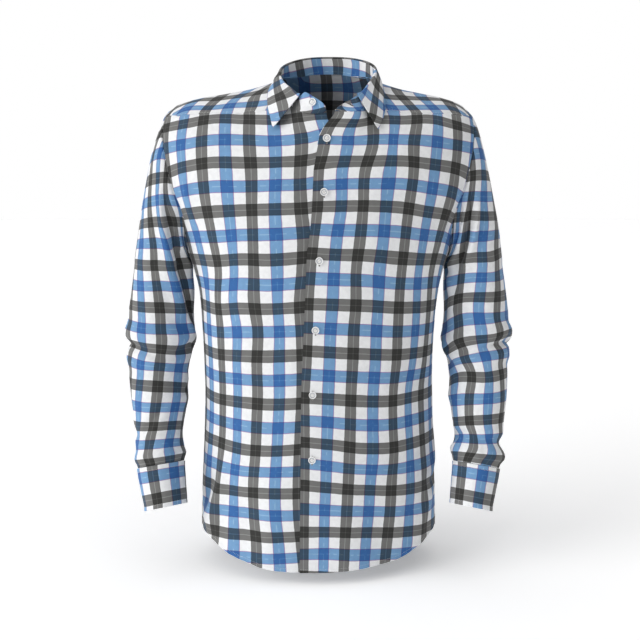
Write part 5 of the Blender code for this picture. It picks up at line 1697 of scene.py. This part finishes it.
def makeButtonholes():
    forms = makeHoleForms()
    sheets = [clothPieces[k] for k in ("frontLeft", "collarStand")]
    for n in range(7):
        middle, axis = nodePlace(button["names"][n])
        if n == 0:
            sheetsHere, along = [clothPieces["collarStand"]], Vector(collar["holeAlong"])
            middle, axis = np.array(collar["holeAt"]), np.array(collar["holeFacing"])
        else:
            sheetsHere, along = sheets, Vector((0.0, 0, 1))
            axis = axis * (-1 if axis[1] > 0 else 1)
            middle = middle - np.array((0, 0, hole["lower"]))
        place, normal = clothAt(middle, axis, sheetsHere)
        normal = normal.normalized()
        side = along.cross(normal).normalized()
        upright = normal.cross(side)
        turned = Matrix((side, upright, normal)).transposed().to_4x4()
        # the slit piece carries the painted shade of the slit
        for form, finish, kind in zip(forms, (holeFinish, slitShadeFinish), ("holeRing", "holeSlitShade")):
            made = form.copy()
            made.data = form.data.copy()
            made.name = made.data.name = kind + str(n + 1)
            scene.collection.objects.link(made)
            made.data.transform(Matrix.Translation(place + normal * hole["raised"]) @ turned)
            made.data.materials.append(finish)
            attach(made, "root")
    for form in forms:
        bpy.data.objects.remove(form)


# Stitches: one short thread, copied along each stitched edge
stitch = {"pitch": 0.0026, "length": 0.0019, "radius": 0.00015, "raised": 0.00004}


def makeStitches(name, paths):
    bpy.ops.object.select_all(action="DESELECT")
    bpy.ops.mesh.primitive_uv_sphere_add(segments=6, ring_count=4, radius=stitch["radius"])
    form = bpy.context.object
    bpy.ops.transform.resize(value=(stitch["length"] / (2 * stitch["radius"]), 1, 0.8))
    bpy.ops.object.transform_apply(location=False, rotation=False, scale=True)
    corners = np.array([v.co for v in form.data.vertices])
    faces = [list(f.vertices) for f in form.data.polygons]
    bpy.data.objects.remove(form)
    allCorners, allFaces = [], []
    for points, normals in paths:
        runs = np.concatenate(([0], np.cumsum(np.linalg.norm(np.diff(points, axis=0), axis=1))))
        for at in np.arange(stitch["pitch"] / 2, runs[-1], stitch["pitch"]):
            here, ahead = (np.array([np.interp(at + d, runs, points[:, k]) for k in range(3)])
                           for d in (0.0, 0.0008))
            up = np.array([np.interp(at, runs, normals[:, k]) for k in range(3)])
            up /= np.linalg.norm(up)
            way = ahead - here
            if np.linalg.norm(way) < 1e-6:
                continue
            way /= np.linalg.norm(way)
            aside = np.cross(up, way)
            placed = corners @ np.array((way, aside, up)) + here + up * stitch["raised"]
            allFaces += [[v + len(allCorners) * len(corners) for v in f] for f in faces]
            allCorners.append(placed)
    mesh = bpy.data.meshes.new(name)
    mesh.from_pydata(np.concatenate(allCorners).tolist(), [], allFaces)
    mesh.materials.append(threadFinish)
    made = bpy.data.objects.new(name, mesh)
    scene.collection.objects.link(made)
    onlySelect(made)
    bpy.ops.object.shade_smooth()
    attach(made, "root")


def makeAllStitches():
    rows = {"cuffLeft": "box", "cuffRight": "box", "frontLeft": "hem", "frontRight": "hem",
            "backBody": "hem", "yokeBody": "both", "collarFall": "leaf",
            "sleeveStripLeft": "sides", "sleeveStripRight": "sides"}
    for name, kind in rows.items():
        shape, normal = shapes[name]
        lines = {"box": ((4, None), (-5, None), (None, 4), (None, -5)), "hem": ((-5, None),),
                 "both": ((2, None), (-3, None)),
                 "leaf": ((-5, None), (None, 3), (None, -4)),
                 "sides": ((None, 1), (None, -2))}[kind]
        paths = []
        for row, column in lines:
            if column is None:
                keep = slice(4, -4) if kind == "box" else slice(3, -3) if kind == "leaf" \
                    else slice(None)
                paths.append((shape[row, keep], normal[row, keep]))
            else:
                keep = slice(9, -4) if kind == "leaf" else slice(4, -4)
                paths.append((shape[keep, column], normal[keep, column]))
        makeStitches(name + "Stitches", paths)


makeButtons()
print("buttons made")
makeButtonholes()
makeAllStitches()
print("stitches made")


def makeStudio():
    bpy.ops.mesh.primitive_plane_add(size=80, location=(0, 30.0, studio["floorZ"]))
    floor = bpy.context.active_object
    floor.name = "floor"
    bpy.ops.object.transform_apply(location=True)
    finish, tree, shader = newFinish("paintedFloor")
    # matt white paint, faintly uneven
    place = addNode(tree, "ShaderNodeTexCoord").outputs["Object"]
    cloud = addNode(tree, "ShaderNodeTexNoise", {"Vector": place, "Scale": 3.0})
    ramp = addNode(tree, "ShaderNodeValToRGB", {"Fac": cloud.outputs["Fac"]})
    ramp.color_ramp.elements[0].color = linearColour(studio["floor"])
    ramp.color_ramp.elements[1].color = linearColour("#ffffff")
    tree.links.new(ramp.outputs["Color"], shader.inputs["Base Color"])
    shader.inputs["Roughness"].default_value = 0.9
    shader.inputs["Emission Color"].default_value = (1, 1, 1, 1)
    shader.inputs["Emission Strength"].default_value = studio["glow"]
    floor.data.materials.append(finish)
    world = bpy.data.worlds.new("air")
    world.use_nodes = True
    tree = world.node_tree
    air = tree.nodes["Background"]
    air.inputs["Color"].default_value = (0.985, 0.98, 1, 1)
    way = addNode(tree, "ShaderNodeTexCoord").outputs["Generated"]
    across = addNode(tree, "ShaderNodeSeparateXYZ", {0: way}).outputs["X"]
    strength = addNode(tree, "ShaderNodeMapRange",
                       {"Value": across, "From Min": -1.0, "From Max": 1.0,
                        "To Min": studio["air"][0], "To Max": studio["air"][1]})
    tree.links.new(strength.outputs["Result"], air.inputs["Strength"])
    paper = addNode(tree, "ShaderNodeBackground", {"Color": (1, 1, 1, 1), "Strength": 1.0})
    seen = addNode(tree, "ShaderNodeLightPath").outputs["Is Camera Ray"]
    both = addNode(tree, "ShaderNodeMixShader", {0: seen, 1: air.outputs[0], 2: paper.outputs[0]})
    tree.links.new(both.outputs[0], tree.nodes["World Output"].inputs["Surface"])
    scene.world = world
    for name, x, y, z, wide, power in studio["lights"][1:]:
        light = bpy.data.lights.new(name, "SUN")
        light.angle = math.radians(wide)
        light.energy = power
        made = bpy.data.objects.new(name, light)
        made.location = (x, y, z)
        aim = Vector(studio["aim"]) - Vector((x, y, z))
        made.rotation_euler = aim.to_track_quat("-Z", "Y").to_euler()
        scene.collection.objects.link(made)


makeStudio()
scene.view_settings.view_transform = "Standard"
print("studio made")
